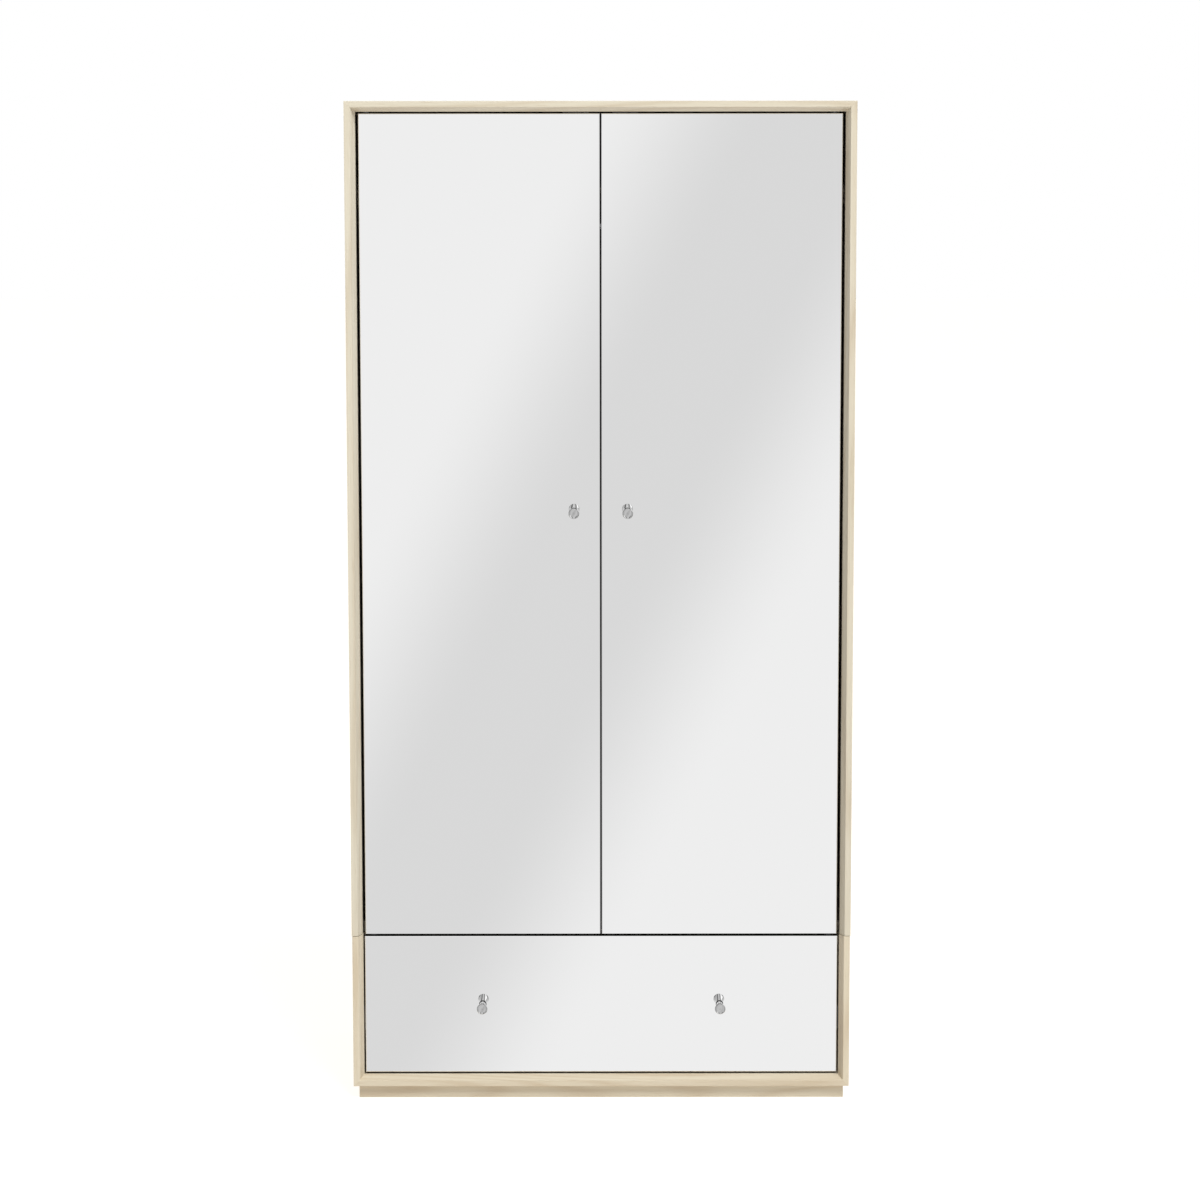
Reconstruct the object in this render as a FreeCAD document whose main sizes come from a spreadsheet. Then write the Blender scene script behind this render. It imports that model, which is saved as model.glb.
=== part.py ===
import FreeCAD, Part
import os
import re
import Sketcher

# Armoire with two mirrored doors over one mirrored drawer, in millimetres.
# Two cases of 19 mm boards stand one on the other: the upper case has the doors, the lower one
# the drawer. Their front edges make a picture frame, flat outside and bevelled inside.
# +Z is up, the doors face -Y and +X is on the right of someone who stands in front.
# The origin is on the floor, in the middle of the whole width and of the depth over the knobs.

SIZES = [
    # the two cases and the plinth
    ("upper_width", 914, "upper case, outside"),
    ("case_step", 1, "upper case proud of the lower one, on each side"),
    ("case_depth", 508, "both cases, front edge to back"),
    ("upper_height", 1517, "upper case"),
    ("lower_height", 281.5, "lower case"),
    ("plinth_height", 23.5, "floor to the lower case"),
    ("plinth_inset", 10, "plinth behind the sides and the front"),
    ("panel", 19, "case boards and shelf"),
    ("back_panel", 6, "thin boards that close the cases"),
    ("rebate", 10, "width of the step that holds a back panel"),
    ("back_play", 0.5, "room round a back panel"),
    ("frame_flat", 11, "flat outer strip of the front edges"),
    ("bevel_depth", 18, "how far back the bevel runs"),
    # doors and drawer front
    ("mirror_recess", 19, "case front to the mirrors"),
    ("mirror_glass", 4, "mirror thickness"),
    ("door_board", 19, "board behind a mirror"),
    ("door_side_gap", 5.5, "door to the case side"),
    ("door_top_gap", 3.3, "door to the top panel"),
    ("door_base_gap", 1.2, "door to the joint between the cases"),
    ("door_gap", 3, "between the two doors"),
    ("swing_room", 8, "door's back to the deck, for the corner that swings in"),
    ("drawer_side_gap", 3, "drawer front to the case side"),
    ("drawer_top_gap", 3.4, "drawer front to the joint between the cases"),
    ("drawer_base_gap", 3.5, "drawer front to the bottom panel"),
    # knobs and their screws
    ("knob_length", 40, "stands out from the mirror"),
    ("knob_neck", 6, "radius at the mirror"),
    ("knob_face", 9.75, "radius at the end"),
    ("knob_rim", 1.5, "straight edge round the end"),
    ("knob_lip", 0.8, "flat ring round the dish"),
    ("knob_dish", 0.6, "depth of the hollow in the end"),
    ("knob_grip", 12, "depth of the screw in the knob"),
    ("knob_from_edge", 47, "door knob to the edge where the doors meet"),
    ("knob_rise", 780, "door knob above the foot of the door"),
    ("drawer_knob_reach", 218, "drawer knob from the middle"),
    ("screw_radius", 2, "knob screw"),
    ("screw_head", 4.5, "radius of its head"),
    ("screw_head_height", 2.5, "its head"),
    ("screw_play", 0.3, "round a screw or a bolt in a board"),
    ("thread_play", 0.02, "round the screw in the knob"),
    # pivot hinges
    ("pivot_inset", 14, "pivot to the outer edge of the door"),
    ("hinge_plate", 2, "plate thickness"),
    ("hinge_width", 18, "plate"),
    ("hinge_length", 56, "pivot to the back end of the plate"),
    ("hinge_screw_pitch", 16, "between the plate's screw holes"),
    ("hinge_screw_end", 10, "last screw hole to the end of the plate"),
    ("hinge_hole", 2.2, "radius of a screw hole"),
    ("hinge_sink", 4, "radius of its countersink"),
    ("hinge_play", 0.3, "between a hinge's fixed and turning faces"),
    ("pin_radius", 2.5, "pivot pin"),
    ("pin_depth", 13, "pin in the door"),
    ("pin_play", 0.04, "round the pin in its bush"),
    ("collar", 2, "how much wider the pin's collar is than the pin"),
    ("bush_wall", 1.5, "bush in the door's edge"),
    ("bush_length", 15, "bush in the door's edge"),
    # magnetic catches
    ("catch_long", 46, "catch under the top panel"),
    ("catch_deep", 14, "catch"),
    ("catch_high", 13, "catch"),
    ("catch_from_edge", 20, "catch to the edge where the doors meet"),
    ("strike_long", 34, "steel plate on the door"),
    ("strike_high", 14, "steel plate on the door"),
    ("strike", 1.2, "its thickness"),
    ("hair_gap", 0.3, "between parts that only just meet"),
    # inside the upper case
    ("hat_space", 129, "hat shelf to the top panel"),
    ("shelf_setback", 20, "hat shelf behind the deck's edge"),
    ("cleat", 19, "square batten under the shelf"),
    ("rod_drop", 60, "shelf to the middle of the rod"),
    ("rod_radius", 12.5, "hanging rod"),
    ("rod_wall", 1.5, "hanging rod"),
    ("socket_flange", 27, "radius of the rod socket's flange"),
    ("socket_plate", 4, "its thickness"),
    ("socket_wall", 3, "ring round the rod"),
    ("socket_depth", 16, "ring round the rod"),
    ("socket_play", 0.25, "round the rod"),
    # joint between the cases
    ("bolt_radius", 3, "joint bolt"),
    ("bolt_head", 7.5, "radius of its head and of its nut"),
    ("bolt_sink", 3, "both are sunk this deep"),
    ("bolt_reach", 300, "bolt from the middle"),
    # drawer box
    ("box_board", 12, "sides, front and back of the drawer"),
    ("box_back_room", 10, "drawer box to the back panel"),
    ("box_headroom", 37.2, "drawer box to the board over it"),
    ("box_lift", 14, "drawer box above the bottom panel"),
    ("box_bottom", 6, "drawer bottom"),
    ("box_groove", 6, "depth of the grooves that hold it"),
    ("box_groove_rise", 10, "groove above the foot of the side"),
    ("groove_play", 0.3, "round the drawer bottom"),
    # telescopic slides
    ("slide_width", 12.7, "case side to drawer side"),
    ("slide_height", 45, "outer member"),
    ("slide_setback", 2, "behind the back of the drawer front"),
    ("slide_lift", 100, "middle of the slide above the bottom panel"),
    ("slide_steel", 1.2, "sheet thickness"),
    ("slide_step", 3, "room for the balls between two members"),
    ("slide_lap", 9, "depth of the outer member's flanges"),
]

# Places that several pieces share, each worked out from the sizes.
PLACES = {
    "lower_width": "upper_width - 2 * case_step",
    "stand_out": "knob_length - mirror_recess",
    "front": "(stand_out - case_depth) / 2",
    "back": "front + case_depth",
    "back_face": "back - back_panel",
    "seam": "plinth_height + lower_height",
    "top": "seam + upper_height",
    "ceiling": "top - panel",
    "floor_face": "plinth_height + panel",
    "deck_face": "seam + panel",
    "upper_inside": "upper_width / 2 - panel",
    "lower_inside": "lower_width / 2 - panel",
    "mirror_face": "front + mirror_recess",
    "board_face": "mirror_face + mirror_glass",
    "board_back": "board_face + door_board",
    "inner_front": "board_back + swing_room",
    "door_edge": "upper_inside - door_side_gap",
    "door_width": "door_edge - door_gap / 2",
    "door_foot": "seam + door_base_gap",
    "door_head": "ceiling - door_top_gap",
    "pivot_x": "door_edge - pivot_inset",
    "pivot_y": "(mirror_face + board_back) / 2",
    "door_knob_x": "door_gap / 2 + knob_from_edge",
    "door_knob_z": "door_foot + knob_rise",
    "drawer_edge": "lower_inside - drawer_side_gap",
    "drawer_foot": "floor_face + drawer_base_gap",
    "drawer_head": "seam - drawer_top_gap",
    "drawer_knob_z": "(drawer_foot + drawer_head) / 2",
    "lower_ceiling_face": "seam - hinge_plate - hinge_play",
    "lower_ceiling": "lower_ceiling_face - panel",
    "shelf_face": "ceiling - hat_space",
    "shelf_foot": "shelf_face - panel",
    "shelf_front": "inner_front + shelf_setback",
    "rod_y": "(inner_front + back_face) / 2",
    "rod_z": "shelf_foot - rod_drop",
    "box_edge": "lower_inside - slide_width",
    "box_foot": "floor_face + box_lift",
    "box_back": "back_face - box_back_room",
    "box_depth": "box_back - board_back",
    "box_height": "lower_ceiling - box_headroom - box_foot",
    "groove_z": "box_foot + box_groove_rise",
    "slide_y": "board_back + slide_setback",
    "slide_z": "floor_face + slide_lift",
    "slide_length": "box_depth - slide_setback",
    "bush_radius": "pin_radius + pin_play + bush_wall",
}

SIDES = (("left", -1), ("right", 1))
ALONG_X = FreeCAD.Rotation(FreeCAD.Vector(0, 1, 0), 90)
AGAINST_X = FreeCAD.Rotation(FreeCAD.Vector(0, 1, 0), -90)
AGAINST_Y = FreeCAD.Rotation(FreeCAD.Vector(1, 0, 0), 90)
UPWARD = FreeCAD.Rotation()

document = FreeCAD.newDocument("Armoire")
sheet = document.addObject("Spreadsheet::Sheet", "Sizes")
pieces = []


def fill_sheet():
    """Write one row for each size: its name, its value and what it measures."""
    for row, (alias, value, meaning) in enumerate(SIZES, start=1):
        sheet.set(f"A{row}", alias)
        sheet.set(f"B{row}", str(value))
        sheet.setAlias(f"B{row}", alias)
        sheet.set(f"C{row}", meaning)
    document.recompute()


def formula(text):
    """Turn words into an expression: a place is worked out, a size is read from the sheet."""
    def spell(match):
        word = match.group()
        if word in PLACES:
            return "(" + formula(PLACES[word]) + ")"
        return "Sizes." + word
    return re.sub("[a-z_]+", spell, text)


def bind(thing, **formulas):
    """Bind properties of an object to formulas."""
    for name, text in formulas.items():
        thing.setExpression(name, formula(text))


def place(thing, x, y, z, turned=UPWARD):
    """Turn an object and bind its position."""
    thing.Placement = FreeCAD.Placement(FreeCAD.Vector(), turned)
    for axis, text in (("x", x), ("y", y), ("z", z)):
        thing.setExpression("Placement.Base." + axis, formula(text))
    return thing


def piece(thing, name):
    """Name an object as a finished piece of the armoire."""
    thing.Label = name
    pieces.append(thing)
    return thing


# ---- Part primitives -------------------------------------------------------------------------

def box(name, length, width, height, x, y, z):
    """A board whose corner with the lowest x, y and z is at the given place."""
    board = document.addObject("Part::Box", name)
    bind(board, Length=length, Width=width, Height=height)
    return place(board, x, y, z)


def cylinder(name, radius, height, x, y, z, turned=UPWARD):
    """A round bar that starts at the given place and runs along its turned axis."""
    bar = document.addObject("Part::Cylinder", name)
    bind(bar, Radius=radius, Height=height)
    return place(bar, x, y, z, turned)


def fuse(name, shapes):
    """Join several shapes into one solid."""
    joined = document.addObject("Part::MultiFuse", name)
    joined.Shapes = shapes
    return joined


def cut(name, base, tools):
    """Take the tools away from the base."""
    tool = tools[0] if len(tools) == 1 else fuse(name + "_tools", tools)
    result = document.addObject("Part::Cut", name)
    result.Base = base
    result.Tool = tool
    return result


# ---- PartDesign bodies -----------------------------------------------------------------------

def new_body(name, x, y, z, turned=UPWARD):
    """An empty body at its place."""
    body = document.addObject("PartDesign::Body", name)
    return place(body, x, y, z, turned)


def new_sketch(body, name, role, offset="0"):
    """A sketch on one of the body's own planes, moved along that plane's normal."""
    sketch = body.newObject("Sketcher::SketchObject", name)
    plane = [feature for feature in body.Origin.OriginFeatures if feature.Role == role][0]
    sketch.AttachmentSupport = [(plane, "")]
    sketch.MapMode = "FlatFace"
    sketch.setExpression("AttachmentOffset.Base.z", formula(offset))
    return sketch


def hold_point(sketch, edge, end, x, y):
    """Hold one end of an edge at a distance from the sketch's origin."""
    for kind, text in (("DistanceX", x), ("DistanceY", y)):
        number = sketch.addConstraint(Sketcher.Constraint(kind, -1, 1, edge, end, 1.0))
        sketch.setExpression(f"Constraints[{number}]", formula(text))


def draw_loop(sketch, corners):
    """Draw a closed loop of straight edges, each corner held by two formulas."""
    count = len(corners)
    start = [FreeCAD.Vector(number, number * number, 0) for number in range(count)]
    for number in range(count):
        sketch.addGeometry(Part.LineSegment(start[number], start[(number + 1) % count]))
    for number in range(count):
        sketch.addConstraint(Sketcher.Constraint("Coincident", number, 2, (number + 1) % count, 1))
    for number, (x, y) in enumerate(corners):
        hold_point(sketch, number, 1, x, y)


def pad(body, name, role, corners, length, offset="0"):
    """Extrude a straight-edged outline along its plane's normal."""
    sketch = new_sketch(body, name + "_outline", role, offset)
    draw_loop(sketch, corners)
    feature = body.newObject("PartDesign::Pad", name)
    feature.Profile = sketch
    bind(feature, Length=length)
    document.recompute()
    return feature


def pocket(body, name, role, corners):
    """Cut an outline through the whole body, and make sure that it removes something."""
    before = body.Shape.Volume
    sketch = new_sketch(body, name + "_outline", role)
    draw_loop(sketch, corners)
    feature = body.newObject("PartDesign::Pocket", name)
    feature.Profile = sketch
    feature.Type = "ThroughAll"
    feature.Midplane = True
    document.recompute()
    if body.Shape.Volume >= before:
        raise RuntimeError(f"{body.Label}: {name} removed nothing")
    return feature


# ---- the two cases ---------------------------------------------------------------------------

def case_side(name, sign, width, height, foot, mitre):
    """A case side: bevelled front edge, rebate for the back, one end mitred.

    The body's origin is at the outer front corner of the foot; sign is +1 on the right.
    """
    body = new_body(name, f"{sign} * {width} / 2", "front", foot)
    inner = f"{-sign} * panel"
    step = f"{-sign} * (panel - rebate)"
    pad(body, name + "_board", "XY_Plane", [
        ("0", "0"),
        (f"{-sign} * frame_flat", "0"),
        (inner, "bevel_depth"),
        (inner, "case_depth - back_panel"),
        (step, "case_depth - back_panel"),
        (step, "case_depth"),
        ("0", "case_depth"),
    ], height)
    corner = {"head": (height, f"{height} - panel"), "foot": ("0", "panel")}[mitre]
    pocket(body, name + "_mitre", "XZ_Plane", [
        ("0", corner[0]),
        (inner, corner[1]),
        (inner, corner[0]),
    ])
    piece(body, name)


def cross_panel(name, sign, width, outer_face):
    """The top (sign -1) or bottom (sign +1) panel of a case, mitred to both sides.

    The body's origin is on the outer face, at the left end of the front edge.
    """
    body = new_body(name, f"-{width} / 2", "front", outer_face)
    inner = f"{sign} * panel"
    step = f"{sign} * (panel - rebate)"
    pad(body, name + "_board", "YZ_Plane", [
        ("0", "0"),
        ("0", f"{sign} * frame_flat"),
        ("bevel_depth", inner),
        ("case_depth - back_panel", inner),
        ("case_depth - back_panel", step),
        ("case_depth", step),
        ("case_depth", "0"),
    ], width)
    for end, outer, mitred in (("left", "0", "panel"), ("right", width, f"{width} - panel")):
        pocket(body, f"{name}_{end}_mitre", "XZ_Plane", [
            (outer, "0"),
            (mitred, inner),
            (outer, inner),
        ])
    piece(body, name)


def back_board(name, width, foot, head):
    """A thin back that sits in the rebates of a case."""
    span = f"({width} - 2 * (panel - rebate) - 2 * back_play)"
    board = box(name, span, "back_panel", f"{head} - ({foot})", f"-{span} / 2", "back_face", foot)
    piece(board, name)


def inner_board(name, half_width, foot, holes_named):
    """A board between the sides, behind the doors, drilled for the joint bolts."""
    blank = box(name + "_blank", f"2 * {half_width}", "back_face - inner_front", "panel",
                f"-{half_width}", "inner_front", foot)
    sunk_face = {"deck": "deck_face - bolt_sink", "lower_top": "lower_ceiling"}[holes_named]
    tools = []
    for side, sign in SIDES:
        at = (f"{sign} * bolt_reach", "rod_y")
        tools.append(cylinder(f"{name}_{side}_hole", "bolt_radius + screw_play", "panel", *at, foot))
        tools.append(cylinder(f"{name}_{side}_sink", "bolt_head + screw_play", "bolt_sink",
                              *at, sunk_face))
    piece(cut(name, blank, tools), name)


def upper_case():
    for side, sign in SIDES:
        case_side(f"upper_{side}_side", sign, "upper_width", "upper_height", "seam", "head")
    cross_panel("upper_top", -1, "upper_width", "top")
    inner_board("deck", "upper_inside", "seam", "deck")
    back_board("upper_back", "upper_width", "seam", "(top - (panel - rebate) - back_play)")


def lower_case():
    for side, sign in SIDES:
        case_side(f"lower_{side}_side", sign, "lower_width", "lower_height", "plinth_height", "foot")
    cross_panel("lower_bottom", 1, "lower_width", "plinth_height")
    inner_board("lower_top", "lower_inside", "lower_ceiling", "lower_top")
    back_board("lower_back", "lower_width", "(plinth_height + (panel - rebate) + back_play)",
               "(seam - back_play)")


def plinth():
    """Four boards that lift the lower case off the floor, set back all round."""
    half = "(lower_width / 2 - plinth_inset)"
    start = "(front + plinth_inset)"
    end = "(back - plinth_inset)"
    for name, y in (("plinth_front", start), ("plinth_back", f"{end} - panel")):
        piece(box(name, f"2 * {half}", "panel", "plinth_height", f"-{half}", y, "0"), name)
    for name, x in (("plinth_left", f"-{half}"), ("plinth_right", f"{half} - panel")):
        piece(box(name, "panel", f"{end} - {start} - 2 * panel", "plinth_height",
                  x, f"{start} + panel", "0"), name)


def joint_bolts():
    """Bolts that hold the two cases together, head and nut both sunk."""
    for side, sign in SIDES:
        name = f"{side}_joint_bolt"
        at = (f"{sign} * bolt_reach", "rod_y")
        shank = cylinder(name + "_shank", "bolt_radius", "deck_face - lower_ceiling",
                         *at, "lower_ceiling")
        nut = cylinder(name + "_nut", "bolt_head", "bolt_sink", *at, "lower_ceiling")
        head = cylinder(name + "_head", "bolt_head", "bolt_sink", *at, "deck_face - bolt_sink")
        piece(fuse(name, [shank, nut, head]), name)


# ---- inside the upper case -------------------------------------------------------------------

def hat_shelf():
    """The shelf and the battens that carry it."""
    depth = "back_face - shelf_front"
    piece(box("hat_shelf", "2 * upper_inside", depth, "panel",
              "-upper_inside", "shelf_front", "shelf_foot"), "hat_shelf")
    for side, x in (("left", "-upper_inside"), ("right", "upper_inside - cleat")):
        name = f"{side}_shelf_cleat"
        piece(box(name, "cleat", depth, "cleat", x, "shelf_front", "shelf_foot - cleat"), name)


def hanging_rod():
    """A tube that runs from side to side, held in two sockets."""
    length = "(2 * (upper_inside - socket_plate - socket_play))"
    start = (f"-{length} / 2", "rod_y", "rod_z", ALONG_X)
    tube = cylinder("rod_outside", "rod_radius", length, *start)
    bore = cylinder("rod_inside", "rod_radius - rod_wall", length, *start)
    piece(cut("hanging_rod", tube, [bore]), "hanging_rod")
    for (side, sign), turned in zip(SIDES, (ALONG_X, AGAINST_X)):
        name = f"{side}_rod_socket"
        wall = (f"{sign} * upper_inside", "rod_y", "rod_z", turned)
        flange = cylinder(name + "_flange", "socket_flange", "socket_plate", *wall)
        ring = cylinder(name + "_ring", "rod_radius + socket_play + socket_wall",
                        "socket_plate + socket_depth", *wall)
        seat = (f"{sign} * (upper_inside - socket_plate)", "rod_y", "rod_z", turned)
        cup = cylinder(name + "_cup", "rod_radius + socket_play", "socket_depth", *seat)
        piece(cut(name, fuse(name + "_blank", [flange, ring]), [cup]), name)


def door_catches():
    """Magnetic catches under the top panel and the steel plates that they hold."""
    for side, sign in SIDES:
        middle = f"{sign} * (door_gap / 2 + catch_from_edge + catch_long / 2)"
        piece(box(f"{side}_catch", "catch_long", "catch_deep", "catch_high",
                  f"{middle} - catch_long / 2", "board_back + strike + hair_gap",
                  "ceiling - catch_high"), f"{side}_catch")
        piece(box(f"{side}_strike", "strike_long", "strike", "strike_high",
                  f"{middle} - strike_long / 2", "board_back", "door_head - strike_high"),
              f"{side}_strike")


# ---- knobs -----------------------------------------------------------------------------------

def knob(name, x, z):
    """A trumpet-shaped knob on a mirror, turned about its own axis and bored for its screw."""
    body = new_body(name, x, "mirror_face", z, AGAINST_Y)
    sketch = new_sketch(body, name + "_outline", "XZ_Plane")
    bore = "screw_radius + thread_play"
    rim_foot = "knob_length - knob_rim"
    profile = [
        ("knob_face", rim_foot),
        ("knob_face", "knob_length"),
        ("knob_face - knob_lip", "knob_length"),
        ("0", "knob_length - knob_dish"),
        ("0", "knob_grip"),
        (bore, "knob_grip"),
        (bore, "0"),
        ("knob_neck", "0"),
    ]
    flare = len(profile) - 1
    start = [FreeCAD.Vector(number, number * number, 0) for number in range(len(profile))]
    for number in range(flare):
        sketch.addGeometry(Part.LineSegment(start[number], start[number + 1]))
        hold_point(sketch, number, 1, *profile[number])
    for number in range(flare - 1):
        sketch.addConstraint(Sketcher.Constraint("Coincident", number, 2, number + 1, 1))
    hold_point(sketch, flare - 1, 2, *profile[flare])
    document.recompute()
    neck = sketch.Geometry[flare - 1].EndPoint
    rim = sketch.Geometry[0].StartPoint
    chord = rim - neck
    radius = chord.Length ** 2 / (2 * chord.x)
    circle = Part.Circle(neck + FreeCAD.Vector(radius, 0, 0), FreeCAD.Vector(0, 0, 1), radius)
    arc = sketch.addGeometry(Part.ArcOfCircle(circle, circle.parameter(rim), circle.parameter(neck)))
    sketch.addConstraint(Sketcher.Constraint("Coincident", arc, 1, 0, 1))
    sketch.addConstraint(Sketcher.Constraint("Coincident", arc, 2, flare - 1, 2))
    sketch.addConstraint(Sketcher.Constraint("Horizontal", arc, 3, arc, 2))
    turning = body.newObject("PartDesign::Revolution", name + "_turning")
    turning.Profile = sketch
    turning.ReferenceAxis = (sketch, ["V_Axis"])
    turning.Angle = 360
    piece(body, name)


def knob_screw(name, x, z, head_face):
    """A screw from the back of the front, with its head there, into the knob."""
    shank = cylinder(name + "_shank", "screw_radius", f"{head_face} - mirror_face + knob_grip - hair_gap",
                     x, head_face, z, AGAINST_Y)
    head = cylinder(name + "_head", "screw_head", "screw_head_height",
                    x, f"{head_face} + screw_head_height", z, AGAINST_Y)
    piece(fuse(name, [shank, head]), name)


def screw_hole(name, x, z, start, end):
    """The tool that drills a knob screw's hole from one y to another."""
    return cylinder(name, "screw_radius + screw_play", f"{end} - ({start})", x, end, z, AGAINST_Y)


# ---- doors -----------------------------------------------------------------------------------

def door(side, sign):
    """One door: a board with a mirror over all of its face, its knob and its bushes."""
    low_x = {"left": "-door_edge", "right": "door_gap / 2"}[side]
    knob_at = (f"{sign} * door_knob_x", "door_knob_z")
    pivot = (f"{sign} * pivot_x", "pivot_y")
    height = "door_head - door_foot"
    glass = box(f"{side}_glass", "door_width", "mirror_glass", height, low_x, "mirror_face", "door_foot")
    glass_hole = screw_hole(f"{side}_glass_hole", *knob_at, "mirror_face", "board_face")
    piece(cut(f"{side}_door_mirror", glass, [glass_hole]), f"{side}_door_mirror")
    blank = box(f"{side}_blank", "door_width", "door_board", height, low_x, "board_face", "door_foot")
    tools = [screw_hole(f"{side}_board_hole", *knob_at, "board_face", "board_back")]
    for end, foot in (("bottom", "door_foot"), ("top", "door_head - bush_length")):
        name = f"{side}_{end}_bush"
        tools.append(cylinder(name + "_seat", "bush_radius", "bush_length", *pivot, foot))
        sleeve = cylinder(name + "_sleeve", "bush_radius", "bush_length", *pivot, foot)
        bore = cylinder(name + "_bore", "pin_radius + pin_play", "bush_length", *pivot, foot)
        piece(cut(name, sleeve, [bore]), name)
    piece(cut(f"{side}_door_board", blank, tools), f"{side}_door_board")
    knob(f"{side}_door_knob", *knob_at)
    knob_screw(f"{side}_door_knob_screw", *knob_at, "board_back")


def hinge(name, sign, plate_foot, collar_foot, collar_head, pin_foot, pin_head):
    """A pivot hinge's fixed half: a screwed plate with a round end, a collar and a pin."""
    pivot = (f"{sign} * pivot_x", "pivot_y")
    plate = box(name + "_plate", "hinge_width", "hinge_length", "hinge_plate",
                f"{sign} * pivot_x - hinge_width / 2", "pivot_y", plate_foot)
    end = cylinder(name + "_end", "hinge_width / 2", "hinge_plate", *pivot, plate_foot)
    collar = cylinder(name + "_collar", "pin_radius + collar", f"{collar_head} - ({collar_foot})",
                      *pivot, collar_foot)
    pin = cylinder(name + "_pin", "pin_radius", f"{pin_head} - ({pin_foot})", *pivot, pin_foot)
    holes = []
    for number in range(2):
        hole = document.addObject("Part::Cone", f"{name}_hole_{number + 1}")
        bind(hole, Radius1="hinge_sink", Radius2="hinge_hole", Height="hinge_plate")
        along = f"pivot_y + hinge_length - hinge_screw_end - {number} * hinge_screw_pitch"
        holes.append(place(hole, pivot[0], along, plate_foot))
    piece(cut(name, fuse(name + "_blank", [plate, end, collar, pin]), holes), name)


def hinges():
    """The pins point into the door: down from the top panel, up from under the deck."""
    for side, sign in SIDES:
        hinge(f"{side}_top_hinge", sign, "ceiling - hinge_plate",
              "door_head + hinge_play", "ceiling - hinge_plate",
              "door_head - pin_depth", "ceiling - hinge_plate")
        hinge(f"{side}_bottom_hinge", sign, "seam - hinge_plate",
              "seam", "door_foot - hinge_play",
              "seam", "door_foot + pin_depth")


# ---- drawer ----------------------------------------------------------------------------------

def drawer_front():
    """The mirrored front and the two knobs that hold it to the drawer box."""
    knobs = [(side, (f"{sign} * drawer_knob_reach", "drawer_knob_z")) for side, sign in SIDES]
    layers = (
        ("drawer_mirror", "mirror_face", "board_face"),
        ("drawer_front_board", "board_face", "board_back"),
    )
    for name, near, far in layers:
        blank = box(name + "_blank", "2 * drawer_edge", f"{far} - {near}", "drawer_head - drawer_foot",
                    "-drawer_edge", near, "drawer_foot")
        tools = [screw_hole(f"{name}_{side}_hole", *at, near, far) for side, at in knobs]
        piece(cut(name, blank, tools), name)
    for side, at in knobs:
        knob(f"{side}_drawer_knob", *at)
        knob_screw(f"{side}_drawer_knob_screw", *at, "(board_back + box_board)")


def drawer_box():
    """Two sides, an inner front and a back, with a thin bottom in grooves."""
    groove_head = "box_groove_rise + box_bottom + groove_play"
    for side, sign in SIDES:
        name = f"drawer_{side}_side"
        outer = f"{sign} * box_edge"
        body = new_body(name, outer, "board_back", "box_foot")
        inner = f"{-sign} * box_board"
        groove = f"{-sign} * (box_board - box_groove)"
        pad(body, name + "_board", "XZ_Plane", [
            ("0", "0"),
            (inner, "0"),
            (inner, "box_groove_rise"),
            (groove, "box_groove_rise"),
            (groove, groove_head),
            (inner, groove_head),
            (inner, "box_height"),
            ("0", "box_height"),
        ], "box_depth", "-box_depth")
        piece(body, name)
    inside = "(box_edge - box_board)"
    ends = (("drawer_inner_front", "board_back", 1), ("drawer_back", "box_back", -1))
    for name, face, sign in ends:
        drilled = name == "drawer_inner_front"
        body = new_body(name + "_blank" if drilled else name, f"-{inside}", face, "box_foot")
        inner = f"{sign} * box_board"
        groove = f"{sign} * (box_board - box_groove)"
        pad(body, name + "_board", "YZ_Plane", [
            ("0", "0"),
            (inner, "0"),
            (inner, "box_groove_rise"),
            (groove, "box_groove_rise"),
            (groove, groove_head),
            (inner, groove_head),
            (inner, "box_height"),
            ("0", "box_height"),
        ], f"2 * {inside}")
        if drilled:
            tools = [screw_hole(f"{name}_{side}_hole", f"{hand} * drawer_knob_reach", "drawer_knob_z",
                                "board_back", "board_back + box_board") for side, hand in SIDES]
            body = cut(name, body, tools)
        piece(body, name)
    tuck = "(box_groove - groove_play)"
    piece(box("drawer_bottom", f"2 * ({inside} + {tuck})",
              f"box_depth - 2 * (box_board - {tuck})", "box_bottom",
              f"-{inside} - {tuck}", f"board_back + box_board - {tuck}", "groove_z"),
          "drawer_bottom")


def channel(name, wall, sign, near, far, half_height):
    """A slide member: a channel whose web stands at near and whose flanges run to far.

    Both are distances from the case wall towards the drawer.
    """
    steel = "slide_steel" if (near, far) != DRAWER_MEMBER else "-slide_steel"
    body = new_body(name, f"{sign} * ({wall})", "slide_y", "slide_z")
    web = f"{-sign} * ({near})"
    inside = f"{-sign} * ({near} + {steel})"
    lip = f"{-sign} * ({far})"
    pad(body, name + "_channel", "XZ_Plane", [
        (web, f"-({half_height})"),
        (lip, f"-({half_height})"),
        (lip, f"-({half_height} - slide_steel)"),
        (inside, f"-({half_height} - slide_steel)"),
        (inside, f"{half_height} - slide_steel"),
        (lip, f"{half_height} - slide_steel"),
        (lip, half_height),
        (web, half_height),
    ], "slide_length", "-slide_length")
    piece(body, name)


CASE_MEMBER = ("0", "slide_lap")
MIDDLE_MEMBER = ("slide_step", "slide_lap + slide_steel")
DRAWER_MEMBER = ("slide_width", "slide_step + 2 * slide_steel")


def drawer_slides():
    """Three nested channels on each side: on the case, in the middle and on the drawer."""
    nested = "slide_height / 2 - slide_steel - slide_step"
    members = (
        ("case", CASE_MEMBER, "slide_height / 2"),
        ("middle", MIDDLE_MEMBER, nested),
        ("drawer", DRAWER_MEMBER, f"{nested} - slide_steel - slide_step"),
    )
    for side, sign in SIDES:
        for member, (near, far), half_height in members:
            channel(f"{side}_{member}_slide", "lower_inside", sign, near, far, half_height)


# ---- build, check, write ---------------------------------------------------------------------

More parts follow.
